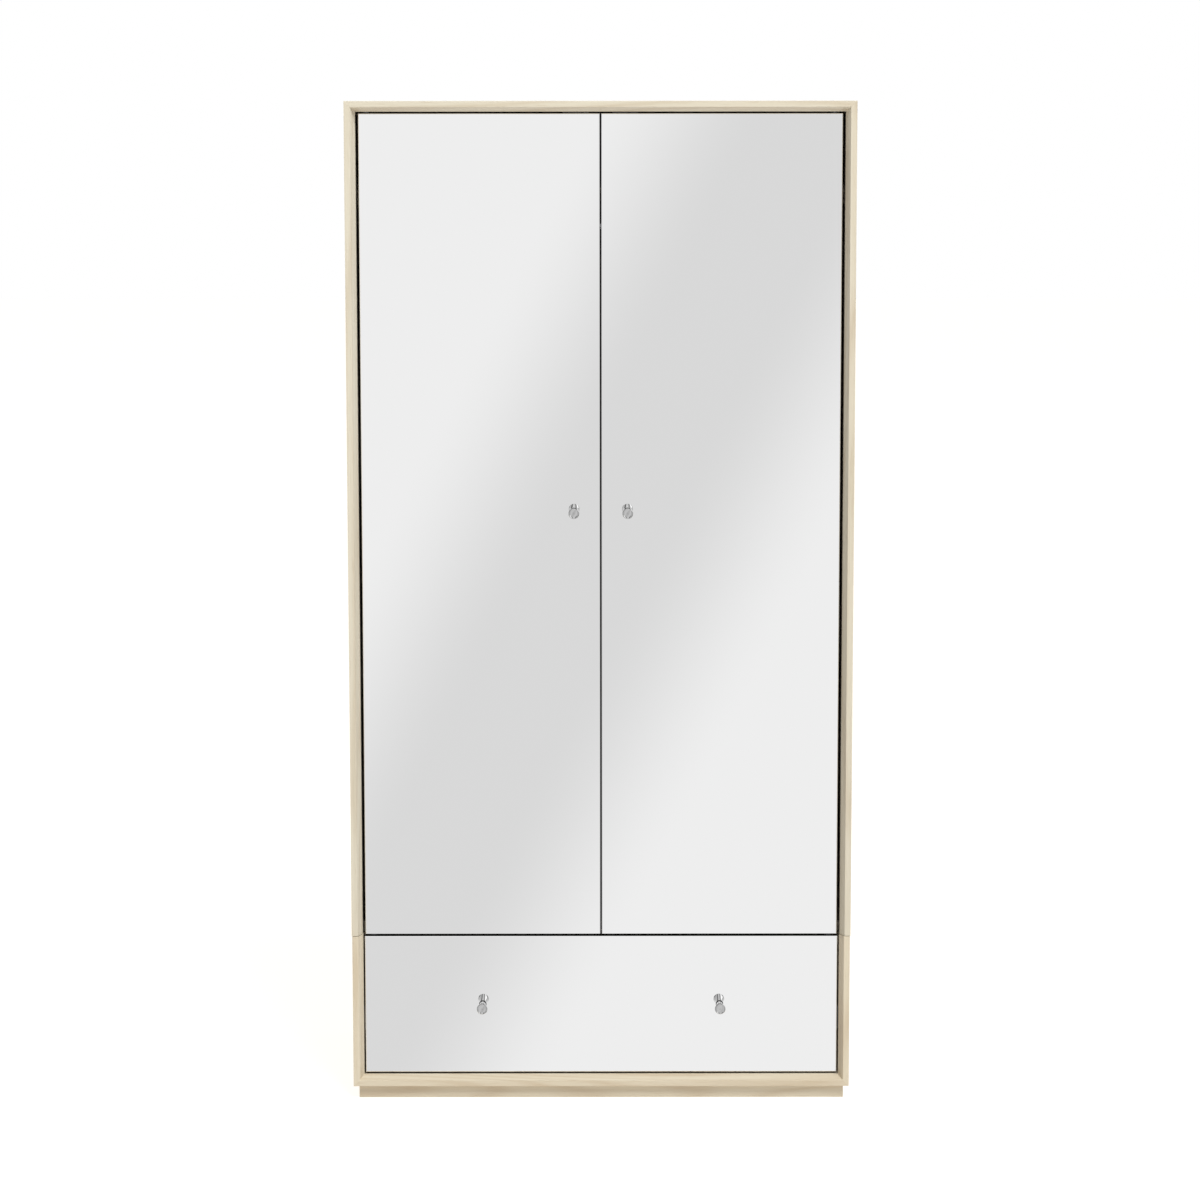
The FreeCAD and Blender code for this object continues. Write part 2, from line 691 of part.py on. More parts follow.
def check():
    """Stop unless every object came out whole and every piece is one valid solid."""
    for thing in document.Objects:
        if "Invalid" in thing.State or "Error" in thing.State:
            raise RuntimeError(f"{thing.Label} failed: {thing.State}")
    for thing in pieces:
        if thing.Shape.isNull() or not thing.Shape.isValid() or len(thing.Shape.Solids) != 1:
            raise RuntimeError(f"{thing.Label} is not one valid solid")


def write():
    """Write one STEP file for each piece."""
    os.makedirs("parts", exist_ok=True)
    for thing in pieces:
        thing.Shape.exportStep(f"parts/{thing.Label}.step")
        print(f"{thing.Label}: {thing.Shape.Volume / 1000:.1f} cm3")


fill_sheet()
upper_case()
lower_case()
plinth()
joint_bolts()
hat_shelf()
hanging_rod()
door_catches()
for side, sign in SIDES:
    door(side, sign)
hinges()
drawer_front()
drawer_box()
drawer_slides()
document.recompute()
check()
write()
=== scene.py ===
import math

import bpy
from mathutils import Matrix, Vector


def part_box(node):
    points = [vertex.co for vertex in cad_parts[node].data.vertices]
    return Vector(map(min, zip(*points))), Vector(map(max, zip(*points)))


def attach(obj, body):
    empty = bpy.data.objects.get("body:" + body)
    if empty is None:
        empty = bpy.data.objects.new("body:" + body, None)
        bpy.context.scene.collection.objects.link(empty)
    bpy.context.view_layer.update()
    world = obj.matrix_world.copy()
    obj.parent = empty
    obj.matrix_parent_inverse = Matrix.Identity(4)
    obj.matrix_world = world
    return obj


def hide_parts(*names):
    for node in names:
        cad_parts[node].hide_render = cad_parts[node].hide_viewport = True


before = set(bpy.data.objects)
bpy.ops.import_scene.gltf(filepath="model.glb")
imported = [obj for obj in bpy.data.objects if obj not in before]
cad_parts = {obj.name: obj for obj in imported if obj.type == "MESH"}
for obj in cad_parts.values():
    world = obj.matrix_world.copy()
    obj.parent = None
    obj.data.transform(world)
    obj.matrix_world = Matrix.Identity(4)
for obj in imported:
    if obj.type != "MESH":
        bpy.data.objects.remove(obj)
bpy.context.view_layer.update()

# ---- Upper case ------------------------------------------------------------------------------
# Two tall sides and a top of 19 mm blond wood, mitred together. The front edges are a flat
# strip with a long bevel inside it, planed on each board before the mitres are cut, and the
# inner back edges have a step for the thin back. The feet are relieved to leave a shadow line.

FLAT = 0.011
BEVEL_DEPTH = 0.018
STEP_WIDTH = 0.010
STEP_DEPTH = 0.006
CASE_EASE = 0.0006
SHADOW_LINE = 0.0010
RELIEF_DEEP = 0.003
PAST = 0.001
IN_PLANE = 0.00002
SHORT_EDGE = 0.0008
ARRIS_ANGLE = 18
ARRIS_SEGMENTS = 2
FINE_SHARE = 0.2
BORE_SIDES = 32
UPPER_PALE = (0.662, 0.611, 0.498, 1)
UPPER_DARK = (0.504, 0.420, 0.302, 1)
WOOD_ROUGHNESS, FIBRE_ROUGH, PORE_ROUGH = 0.42, 0.08, 0.15
GRAIN_RELIEF, FIBRE_RELIEF = 0.00006, 0.25
COAT_ROUGHNESS = 0.3
GROWTH, RINGS, RING_SHARP = (7.0, 7.0, 0.55), 115.0, 2.2
FIBRES, FIBRE_SHARE = (330.0, 330.0, 5.0), 0.16
STREAKS, STREAK_SHARE = (70.0, 70.0, 0.9), 0.30
PORES, PORE_SHARE = (950.0, 950.0, 24.0), 0.5
BOARD_CHANGE = (2.2, 2.2, 0.35)


def wood_grain():
    """Node group: blond timber whose fibres run along the vector's Z, in metres."""
    group = bpy.data.node_groups.new("wood_grain", "ShaderNodeTree")
    for name, kind in (("Vector", "NodeSocketVector"), ("Pale", "NodeSocketColor"),
                       ("Dark", "NodeSocketColor"), ("Figure", "NodeSocketFloat"),
                       ("Pores", "NodeSocketFloat")):
        group.interface.new_socket(name, in_out="INPUT", socket_type=kind)
    for name, kind in (("Color", "NodeSocketColor"), ("Roughness", "NodeSocketFloat"),
                       ("Height", "NodeSocketFloat")):
        group.interface.new_socket(name, in_out="OUTPUT", socket_type=kind)
    nodes, links = group.nodes, group.links
    given = nodes.new("NodeGroupInput")
    result = nodes.new("NodeGroupOutput")

    def stretched(scale, **values):
        """A noise whose pattern is drawn out along the fibres."""
        mapping = nodes.new("ShaderNodeMapping")
        mapping.inputs["Scale"].default_value = scale
        noise = nodes.new("ShaderNodeTexNoise")
        noise.inputs["Scale"].default_value = 1
        for name, value in values.items():
            noise.inputs[name].default_value = value
        links.new(given.outputs["Vector"], mapping.inputs["Vector"])
        links.new(mapping.outputs["Vector"], noise.inputs["Vector"])
        return noise.outputs[0]

    def maths(operation, first, second):
        node = nodes.new("ShaderNodeMath")
        node.operation = operation
        for socket, value in zip(node.inputs, (first, second)):
            if isinstance(value, float):
                socket.default_value = value
            else:
                links.new(value, socket)
        return node.outputs[0]

    def spread(value, low, high, to_low, to_high):
        node = nodes.new("ShaderNodeMapRange")
        links.new(value, node.inputs["Value"])
        for name, number in (("From Min", low), ("From Max", high),
                             ("To Min", to_low), ("To Max", to_high)):
            node.inputs[name].default_value = number
        return node.outputs[0]

    growth = stretched(GROWTH, Detail=2.0, Roughness=0.45)
    ring = maths("SINE", maths("MULTIPLY", growth, RINGS), 0.0)
    ring = spread(ring, -1.0, 1.0, 0.0, 1.0)
    ring = maths("POWER", ring, RING_SHARP)
    ring = maths("MULTIPLY", ring, given.outputs["Figure"])
    fibre = spread(stretched(FIBRES, Detail=3.0, Roughness=0.6), 0.3, 0.7, 0.0, 1.0)
    streak = spread(stretched(STREAKS, Detail=2.0, Roughness=0.5), 0.35, 0.72, 0.0, 1.0)
    pore = spread(stretched(PORES, Detail=1.0, Roughness=0.5), 0.60, 0.72, 0.0, 1.0)
    pore = maths("MULTIPLY", pore, given.outputs["Pores"])
    board = stretched(BOARD_CHANGE, Detail=0.0)
    depth = maths("ADD", maths("MULTIPLY", fibre, FIBRE_SHARE),
                  maths("MULTIPLY", streak, STREAK_SHARE))
    depth = maths("ADD", depth, ring)
    depth = maths("ADD", depth, maths("MULTIPLY", pore, PORE_SHARE))
    depth = maths("ADD", depth, spread(board, 0.3, 0.7, -0.08, 0.12))
    clamp = spread(depth, 0.0, 1.0, 0.0, 1.0)
    tint = nodes.new("ShaderNodeMix")
    tint.data_type = "RGBA"
    links.new(clamp, tint.inputs["Factor"])
    links.new(given.outputs["Pale"], tint.inputs[6])
    links.new(given.outputs["Dark"], tint.inputs[7])
    links.new(tint.outputs[2], result.inputs["Color"])
    rough = maths("ADD", maths("MULTIPLY", fibre, FIBRE_ROUGH),
                  maths("MULTIPLY", pore, PORE_ROUGH))
    rough = maths("ADD", rough, WOOD_ROUGHNESS - FIBRE_ROUGH / 2)
    height = maths("SUBTRACT", maths("MULTIPLY", fibre, FIBRE_RELIEF), pore)
    links.new(rough, result.inputs["Roughness"])
    links.new(height, result.inputs["Height"])
    return group


GRAIN = wood_grain()
ALONG = {
    "upright": (0, 0, 0),
    "across": (0, math.radians(90), 0),
    "deep": (math.radians(90), 0, 0),
}


def wood(name, run, pale, dark, figure=0.35, pores=0.6, coat=0.12):
    """A satin lacquered wood whose fibres run upright, across or deep."""
    material = bpy.data.materials.new(name)
    material.use_nodes = True
    nodes, links = material.node_tree.nodes, material.node_tree.links
    shader = nodes["Principled BSDF"]
    place = nodes.new("ShaderNodeTexCoord")
    aligned = nodes.new("ShaderNodeMapping")
    aligned.inputs["Rotation"].default_value = ALONG[run]
    grain = nodes.new("ShaderNodeGroup")
    grain.node_tree = GRAIN
    grain.inputs["Pale"].default_value = pale
    grain.inputs["Dark"].default_value = dark
    grain.inputs["Figure"].default_value = figure
    grain.inputs["Pores"].default_value = pores
    bump = nodes.new("ShaderNodeBump")
    bump.inputs["Distance"].default_value = GRAIN_RELIEF
    links.new(place.outputs["Object"], aligned.inputs["Vector"])
    links.new(aligned.outputs["Vector"], grain.inputs["Vector"])
    links.new(grain.outputs["Color"], shader.inputs["Base Color"])
    links.new(grain.outputs["Roughness"], shader.inputs["Roughness"])
    links.new(grain.outputs["Height"], bump.inputs["Height"])
    links.new(bump.outputs["Normal"], shader.inputs["Normal"])
    shader.inputs["Coat Weight"].default_value = coat
    shader.inputs["Coat Roughness"].default_value = COAT_ROUGHNESS
    return material


UPPER_WOOD = {run: wood("upper_wood_" + run, run, UPPER_PALE, UPPER_DARK) for run in ALONG}


def edit(piece, select="SELECT"):
    """Open one piece for editing, all selected or nothing selected."""
    bpy.ops.object.select_all(action="DESELECT")
    piece.select_set(True)
    bpy.context.view_layer.objects.active = piece
    bpy.ops.object.mode_set(mode="EDIT")
    bpy.ops.mesh.select_all(action=select)


def leave():
    """Close the piece that is open for editing."""
    bpy.ops.object.mode_set(mode="OBJECT")


def rough_board(name, low, high):
    """A squared board between two corners, with its place in its mesh."""
    low, high = Vector(low), Vector(high)
    bpy.ops.object.select_all(action="DESELECT")
    bpy.ops.mesh.primitive_cube_add(size=1, location=(low + high) / 2, scale=high - low)
    board = bpy.context.object
    board.name = board.data.name = name
    bpy.ops.object.transform_apply(location=True, rotation=True, scale=True)
    return board


def saw(board, point, waste):
    """Saw a board through a point; the side that waste points to falls away."""
    edit(board)
    bpy.ops.mesh.bisect(plane_co=point, plane_no=waste, use_fill=True, clear_outer=True)
    leave()


def apply_modifier(piece, kind, **values):
    """Add a modifier to a piece, set it and apply it."""
    bpy.ops.object.select_all(action="DESELECT")
    piece.select_set(True)
    bpy.context.view_layer.objects.active = piece
    modifier = piece.modifiers.new(kind.lower(), kind)
    for name, value in values.items():
        setattr(modifier, name, value)
    bpy.ops.object.modifier_apply(modifier=modifier.name)


def rout(board, low, high):
    """Cut the box between two corners out of a board.

    A cutter starts PAST outside each face that it opens, so that no skin is left.
    """
    cutter = rough_board("cutter", low, high)
    apply_modifier(board, "BOOLEAN", operation="DIFFERENCE", object=cutter, solver="EXACT")
    bpy.data.objects.remove(cutter, do_unlink=True)


def bore(board, start, end, radius):
    """Bore a round hole in a board from one point to another, along x, y or z."""
    start, end = Vector(start), Vector(end)
    run = end - start
    bpy.ops.object.select_all(action="DESELECT")
    bpy.ops.mesh.primitive_cylinder_add(vertices=BORE_SIDES, radius=radius, depth=run.length,
                                        location=(start + end) / 2,
                                        rotation=run.to_track_quat("Z", "Y").to_euler())
    drill = bpy.context.object
    apply_modifier(board, "BOOLEAN", operation="DIFFERENCE", object=drill, solver="EXACT")
    bpy.data.objects.remove(drill, do_unlink=True)


def lies_in(mesh, edge, planes):
    """Whether an edge lies in one of the planes, each a point and a normal."""
    ends = [mesh.vertices[index].co for index in edge.vertices]
    return any(all(abs((end - Vector(point)).dot(Vector(normal))) < IN_PLANE for end in ends)
               for point, normal in planes)


def ease(piece, width, glued=(), fine=()):
    """Round the arrises. Those in a glued plane stay sharp; those in a fine plane nearly so."""
    mesh = piece.data
    sides = {}
    for face in mesh.polygons:
        face.use_smooth = True
        for key in face.edge_keys:
            sides.setdefault(key, []).append(face.normal.copy())
    weights = mesh.attributes.new("bevel_weight_edge", "FLOAT", "EDGE")
    for edge in mesh.edges:
        normals = sides[edge.key]
        arris = len(normals) == 2 and normals[0].angle(normals[1]) > math.radians(ARRIS_ANGLE)
        ends = [mesh.vertices[index].co for index in edge.vertices]
        kept = lies_in(mesh, edge, glued) or (ends[0] - ends[1]).length < SHORT_EDGE
        edge.use_edge_sharp = arris and kept
        if arris and not kept:
            weights.data[edge.index].value = FINE_SHARE if lies_in(mesh, edge, fine) else 1.0
    apply_modifier(piece, "BEVEL", width=width, segments=ARRIS_SEGMENTS,
                   limit_method="WEIGHT", harden_normals=True)


def finish_piece(piece, body, slot, material, *nodes):
    """Give a piece its material, the body it moves with and the CAD nodes it stands for."""
    piece.data.materials.clear()
    piece.data.materials.append(material)
    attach(piece, body)
    if nodes:
        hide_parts(*nodes)


def case_side(name, node, sign, mitred_end, timber):
    """A case side; sign is +1 on the right, and mitred_end is +1 at the top and -1 at the foot."""
    low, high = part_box(node)
    board = rough_board(name, low, high)
    outer = high.x if sign > 0 else low.x
    inner = low.x if sign > 0 else high.x
    edge = high.z if mitred_end > 0 else low.z
    step = inner + sign * STEP_WIDTH
    rout(board, (min(inner - PAST * sign, step), high.y - STEP_DEPTH, low.z - PAST),
         (max(inner - PAST * sign, step), high.y + PAST, high.z + PAST))
    bevel_width = abs(inner - outer) - FLAT
    saw(board, (inner, low.y + BEVEL_DEPTH, 0), (-sign * BEVEL_DEPTH, -bevel_width, 0))
    mitre = ((outer, 0, edge), (-sign, 0, mitred_end))
    saw(board, *mitre)
    fine = []
    if mitred_end > 0:
        line = low.z + SHADOW_LINE
        rout(board, (low.x - PAST, low.y - PAST, low.z - PAST),
             (high.x + PAST, low.y + BEVEL_DEPTH + 2 * PAST, line))
        mouth, end = outer + sign * PAST, outer - sign * RELIEF_DEEP
        rout(board, (min(mouth, end), low.y, low.z - PAST), (max(mouth, end), high.y + PAST, line))
        fine = [((0, 0, low.z), (0, 0, 1)), ((0, 0, line), (0, 0, 1))]
    ease(board, CASE_EASE, glued=[mitre], fine=fine)
    finish_piece(board, "case", "case_wood", timber["upright"], node)


def cross_board(name, node, sign, timber):
    """A case's top (sign +1) or bottom (sign -1) panel, mitred at both ends."""
    low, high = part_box(node)
    board = rough_board(name, low, high)
    outer = high.z if sign > 0 else low.z
    inner = low.z if sign > 0 else high.z
    step = inner + sign * STEP_WIDTH
    rout(board, (low.x - PAST, high.y - STEP_DEPTH, min(inner - PAST * sign, step)),
         (high.x + PAST, high.y + PAST, max(inner - PAST * sign, step)))
    bevel_width = abs(inner - outer) - FLAT
    saw(board, (0, low.y + BEVEL_DEPTH, inner), (0, -bevel_width, -sign * BEVEL_DEPTH))
    mitres = [((low.x, 0, outer), (-1, 0, -sign)), ((high.x, 0, outer), (1, 0, -sign))]
    for mitre in mitres:
        saw(board, *mitre)
    ease(board, CASE_EASE, glued=mitres)
    finish_piece(board, "case", "case_wood", timber["across"], node)


SIDES = (("left", -1), ("right", 1))
for side, sign in SIDES:
    case_side(f"upper_{side}_board", f"upper_{side}_side", sign, 1, UPPER_WOOD)
cross_board("upper_top_board", "upper_top", 1, UPPER_WOOD)

# ---- Lower case ------------------------------------------------------------------------------
# The case that holds the drawer: two short sides and a bottom, made as the upper case is and a
# millimetre narrower on each side, of the same wood given a slightly warmer tone, which is painted
# warm light from the floor.

# The warmer tone of these colours is painted light: the floor's warm glow on the lower boards.
LOWER_PALE_WARM_LIT = (0.675, 0.603, 0.466, 1)
LOWER_DARK_WARM_LIT = (0.520, 0.414, 0.282, 1)
LOWER_WOOD_WARM_LIT = {run: wood("lower_wood_warm_lit_" + run, run, LOWER_PALE_WARM_LIT, LOWER_DARK_WARM_LIT) for run in ALONG}
for side, sign in SIDES:
    case_side(f"lower_{side}_board", f"lower_{side}_side", sign, -1, LOWER_WOOD_WARM_LIT)
cross_board("lower_bottom_board", "lower_bottom", -1, LOWER_WOOD_WARM_LIT)

# ---- Deck, board over the drawer, shelf and plinth --------------------------------------------
# Plain boards of the same wood between the sides: the deck under the doors, the board over the
# drawer, the hat shelf on its two battens, and four plinth boards set back under the case. The
# deck and the board under it are bored for the two bolts that hold the cases together.

BOLT_AT = (0.300, 0.0325)
BOLT_HOLE = 0.0033
BOLT_SINK = 0.0078
BOLT_SINK_DEPTH = 0.003

# The plinth and the board over the drawer take the lower case's warmer tone: painted floor light.
PLAIN_BOARDS = (
    ("hat_shelf", UPPER_WOOD["across"]), ("left_shelf_cleat", UPPER_WOOD["deep"]),
    ("right_shelf_cleat", UPPER_WOOD["deep"]), ("plinth_front", LOWER_WOOD_WARM_LIT["across"]),
    ("plinth_back", LOWER_WOOD_WARM_LIT["across"]), ("plinth_left", LOWER_WOOD_WARM_LIT["deep"]),
    ("plinth_right", LOWER_WOOD_WARM_LIT["deep"]),
)
for node, timber in PLAIN_BOARDS:
    board = rough_board(node + "_board", *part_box(node))
    ease(board, CASE_EASE)
    finish_piece(board, "case", "case_wood", timber, node)

for node, sunk_side, timber in (("deck", 1, UPPER_WOOD), ("lower_top", -1, LOWER_WOOD_WARM_LIT)):
    low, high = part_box(node)
    board = rough_board(node + "_board", low, high)
    sunk_from = high.z - BOLT_SINK_DEPTH if sunk_side > 0 else low.z - PAST
    sunk_to = high.z + PAST if sunk_side > 0 else low.z + BOLT_SINK_DEPTH
    for side, sign in SIDES:
        x, y = sign * BOLT_AT[0], BOLT_AT[1]
        bore(board, (x, y, low.z - PAST), (x, y, high.z + PAST), BOLT_HOLE)
        bore(board, (x, y, sunk_from), (x, y, sunk_to), BOLT_SINK)
    ease(board, CASE_EASE)
    finish_piece(board, "case", "case_wood", timber["across"], node)

# ---- Backs -----------------------------------------------------------------------------------
# Thin veneered boards set into the steps at the back of both cases, held all round by small
# domed steel pins, a hand's breadth apart.

BACK_EASE = 0.0003
BACK_SUNK = 0.0005
PIN_RADIUS = 0.0022
PIN_RISE = 0.0005
PIN_DOME = ((0.6, 0.9), (0.4, 0.6))
PIN_SIDES = 12
PIN_SMOOTH = 50
PIN_PITCH = 0.150
PIN_FROM_EDGE = 0.0045
ZINC_DULL = (0.36, 0.37, 0.38, 1)
ZINC_BRIGHT = (0.52, 0.53, 0.54, 1)
BACK_PALE = (0.66, 0.545, 0.385, 1)
BACK_DARK = (0.47, 0.355, 0.22, 1)
BACK_WOOD = wood("back_veneer", "upright", BACK_PALE, BACK_DARK, figure=0.5)


def zinc_steel():
    """Bright zinc on steel: fine rolling lines and a mottled bloom."""
    material = bpy.data.materials.new("zinc_steel")
    material.use_nodes = True
    nodes, links = material.node_tree.nodes, material.node_tree.links
    shader = nodes["Principled BSDF"]
    shader.inputs["Metallic"].default_value = 1
    place = nodes.new("ShaderNodeTexCoord")
    bloom = nodes.new("ShaderNodeTexNoise")
    bloom.inputs["Scale"].default_value = 90
    bloom.inputs["Detail"].default_value = 4
    tone = nodes.new("ShaderNodeValToRGB")
    tone.color_ramp.elements[0].position = 0.3
    tone.color_ramp.elements[0].color = ZINC_DULL
    tone.color_ramp.elements[1].position = 0.7
    tone.color_ramp.elements[1].color = ZINC_BRIGHT
    gloss = nodes.new("ShaderNodeMapRange")
    gloss.inputs["To Min"].default_value = 0.24
    gloss.inputs["To Max"].default_value = 0.44
    links.new(place.outputs["Object"], bloom.inputs["Vector"])
    links.new(bloom.outputs[0], tone.inputs["Fac"])
    links.new(tone.outputs["Color"], shader.inputs["Base Color"])
    links.new(bloom.outputs[0], gloss.inputs["Value"])
    links.new(gloss.outputs[0], shader.inputs["Roughness"])
    return material


ZINC = zinc_steel()


def pin(name):
    """A pin's head at the origin: a short disc whose top is drawn in to a low dome."""
    bpy.ops.object.select_all(action="DESELECT")
    bpy.ops.mesh.primitive_circle_add(vertices=PIN_SIDES, radius=PIN_RADIUS, fill_type="NGON",
                                      location=(0, 0, 0))
    head = bpy.context.object
    head.name = head.data.name = name
    edit(head)
    height = 0.0
    for rise, scale in PIN_DOME:
        bpy.ops.mesh.extrude_region_move(
            TRANSFORM_OT_translate={"value": (0, 0, PIN_RISE * rise)})
        height += PIN_RISE * rise
        bpy.ops.transform.resize(value=(scale, scale, 1), center_override=(0, 0, height))
    bpy.ops.mesh.select_all(action="SELECT")
    bpy.ops.mesh.normals_make_consistent(inside=False)
    leave()
    bpy.ops.object.shade_smooth_by_angle(angle=math.radians(PIN_SMOOTH))
    return head


def spaced(low, high):
    """Places from low to high, evenly spaced at about the pins' pitch."""
    count = max(1, round((high - low) / PIN_PITCH))
    return [low + (high - low) * step / count for step in range(count + 1)]


def copied(pattern, name, shift, facing=None):
    """A copy with a mesh of its own, moved, and turned from facing up if facing is given."""
    copy = pattern.copy()
    copy.data = pattern.data.copy()
    copy.name = copy.data.name = name
    bpy.context.collection.objects.link(copy)
    bpy.ops.object.select_all(action="DESELECT")
    copy.select_set(True)
    bpy.context.view_layer.objects.active = copy
    if facing:
        copy.rotation_euler = Vector(facing).to_track_quat("Z", "Y").to_euler()
    copy.location = shift
    bpy.ops.object.transform_apply(location=True, rotation=True, scale=True)
    return copy


def joined(name, pieces):
    """Make several pieces into one."""
    bpy.ops.object.select_all(action="DESELECT")
    for each in pieces:
        each.select_set(True)
    bpy.context.view_layer.objects.active = pieces[0]
    bpy.ops.object.join()
    pieces[0].name = pieces[0].data.name = name
    return pieces[0]


def pinned_back(node):
    """A back and the pins round its edge."""
    low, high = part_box(node)
    board = rough_board(node + "_board", low, high - Vector((0, BACK_SUNK, 0)))
    ease(board, BACK_EASE)
    finish_piece(board, "case", "back_board", BACK_WOOD, node)
    left, right = low.x + PIN_FROM_EDGE, high.x - PIN_FROM_EDGE
    foot, head = low.z + PIN_FROM_EDGE, high.z - PIN_FROM_EDGE
    places = [(x, z) for x in spaced(left, right) for z in (foot, head)]
    places += [(x, z) for z in spaced(foot, head)[1:-1] for x in (left, right)]
    pins = [copied(PIN_HEAD, f"{node}_pin_{number}", (x, high.y - PIN_RISE, z), (0, 1, 0))
            for number, (x, z) in enumerate(places)]
    finish_piece(joined(node + "_pins", pins), "case", "steel", ZINC)


PIN_HEAD = pin("pin_head")
pinned_back("upper_back")
pinned_back("lower_back")
bpy.data.objects.remove(PIN_HEAD, do_unlink=True)

# ---- Hanging rod -----------------------------------------------------------------------------
# A chromed steel tube across the upper case, its ends in two chromed cups whose flanges are
# screwed to the sides with two countersunk screws each.

SCREW_SIDES = 20
SCREW_SMOOTH = 35
SCREW_DOME = ((0.35, 1.0), (0.8, 0.88), (1.0, 0.62))
CROSS_LONG, CROSS_WIDE, CROSS_DEEP = 0.52, 0.10, 0.5
SOCKET_SCREW_OUT = 0.0213
SOCKET_SCREW = 0.0034
SOCKET_SCREW_RISE = 0.0004
FLANGE_THICK = 0.004
ROD_TINT = (0.60, 0.60, 0.61, 1)
ROD_ROUGHNESS = 0.09


def chrome(name, tint, roughness):
    """Bright chrome with a faint haze of polishing marks."""
    material = bpy.data.materials.new(name)
    material.use_nodes = True
    nodes, links = material.node_tree.nodes, material.node_tree.links
    shader = nodes["Principled BSDF"]
    shader.inputs["Base Color"].default_value = tint
    shader.inputs["Metallic"].default_value = 1
    place = nodes.new("ShaderNodeTexCoord")
    haze = nodes.new("ShaderNodeTexNoise")
    haze.inputs["Scale"].default_value = 180
    haze.inputs["Detail"].default_value = 3
    polish = nodes.new("ShaderNodeMapRange")
    polish.inputs["To Min"].default_value = roughness * 0.6
    polish.inputs["To Max"].default_value = roughness * 1.4
    links.new(place.outputs["Object"], haze.inputs["Vector"])
    links.new(haze.outputs[0], polish.inputs["Value"])
    links.new(polish.outputs[0], shader.inputs["Roughness"])
    return material


def dress(node, material):
    """Give a part that keeps its own shape its finish."""
    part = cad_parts[node]
    part.data.materials.clear()
    part.data.materials.append(material)


def screw_head(radius, rise, drop=0.0):
    """The pattern for a cross-recessed screw head: a low dome on a disc, at the origin, facing up.

    It stands proud by rise and goes into the work by drop.
    """
    bpy.ops.object.select_all(action="DESELECT")
    bpy.ops.mesh.primitive_circle_add(vertices=SCREW_SIDES, radius=radius, fill_type="NGON",
                                      location=(0, 0, -drop))
    head = bpy.context.object
    head.name = head.data.name = "screw_head"
    bpy.ops.object.transform_apply(location=True, rotation=True, scale=True)
    edit(head)
    height, width = -drop, 1.0
    for share, next_width in SCREW_DOME:
        next_height = rise * share
        bpy.ops.mesh.extrude_region_move(
            TRANSFORM_OT_translate={"value": (0, 0, next_height - height)})
        scale = next_width / width
        bpy.ops.transform.resize(value=(scale, scale, 1), center_override=(0, 0, next_height))
        height, width = next_height, next_width
    bpy.ops.mesh.select_all(action="SELECT")
    bpy.ops.mesh.normals_make_consistent(inside=False)
    leave()
    arm, thick = radius * CROSS_LONG, radius * CROSS_WIDE
    for across, along in ((arm, thick), (thick, arm)):
        rout(head, (-across, -along, rise - radius * CROSS_DEEP), (across, along, rise + PAST))
    bpy.ops.object.select_all(action="DESELECT")
    head.select_set(True)
    bpy.context.view_layer.objects.active = head
    bpy.ops.object.shade_smooth_by_angle(angle=math.radians(SCREW_SMOOTH))
    return head


def screws(name, pattern, places, facing, body):
    """Copies of a screw head in a row of places, made one piece."""
    heads = [copied(pattern, f"{name}_{number}", place, facing)
             for number, place in enumerate(places)]
    finish_piece(joined(name, heads), body, "steel", ZINC)


ROD_CHROME = chrome("rod_chrome", ROD_TINT, ROD_ROUGHNESS)
dress("hanging_rod", ROD_CHROME)
SOCKET_SCREW_HEAD = screw_head(SOCKET_SCREW, SOCKET_SCREW_RISE)
for side, sign in SIDES:
    socket = f"{side}_rod_socket"
    dress(socket, ROD_CHROME)
    low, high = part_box(socket)
    face = low.x + FLANGE_THICK if sign < 0 else high.x - FLANGE_THICK
    middle = (low + high) / 2
    places = [(face, middle.y + end * SOCKET_SCREW_OUT, middle.z) for end in (-1, 1)]
    screws(f"{side}_socket_screws", SOCKET_SCREW_HEAD, places, (-sign, 0, 0), "case")
bpy.data.objects.remove(SOCKET_SCREW_HEAD, do_unlink=True)

# ---- Pivot hinges and their bushes -----------------------------------------------------------
# Blackened steel plates under the top panel and under the deck, each with a pin that turns in a
# nylon bush in the door's edge; the blackening is partly painted shade, so the plates don't show
# in the gap over the doors. Two countersunk screws hold each top plate; the bottom plates are
# screwed from below, inside the joint between the cases.

HINGE_SCREWS_AT = (0.030, 0.046)
PIVOT_Y = -0.2130
HINGE_SCREW = 0.0037
HINGE_SCREW_RISE = 0.0002
HINGE_SCREW_DROP = 0.0005
PLATE_THICK = 0.0020
# Near-black tone: partly a dark zinc finish, partly painted shade for the gap over the doors.
STEEL_SHADE_BLACK = (0.045, 0.045, 0.048, 1)
STEEL_RUBBED = (0.11, 0.11, 0.115, 1)
NYLON_TONE = (0.72, 0.70, 0.64, 1)
NYLON_ROUGHNESS = 0.4


def shade_darkened_steel():
    """Dark zinc on steel, rubbed a little brighter in patches; the dark tone is partly painted
    shade.
    """
    material = bpy.data.materials.new("shade_darkened_steel")
    material.use_nodes = True
    nodes, links = material.node_tree.nodes, material.node_tree.links
    shader = nodes["Principled BSDF"]
    shader.inputs["Metallic"].default_value = 1
    shader.inputs["Roughness"].default_value = 0.42
    place = nodes.new("ShaderNodeTexCoord")
    rub = nodes.new("ShaderNodeTexNoise")
    rub.inputs["Scale"].default_value = 140
    rub.inputs["Detail"].default_value = 4
    tone = nodes.new("ShaderNodeValToRGB")
    tone.color_ramp.elements[0].position = 0.35
    tone.color_ramp.elements[0].color = STEEL_SHADE_BLACK
    tone.color_ramp.elements[1].position = 0.75
    tone.color_ramp.elements[1].color = STEEL_RUBBED
    links.new(place.outputs["Object"], rub.inputs["Vector"])
    links.new(rub.outputs[0], tone.inputs["Fac"])
    links.new(tone.outputs["Color"], shader.inputs["Base Color"])
    return material


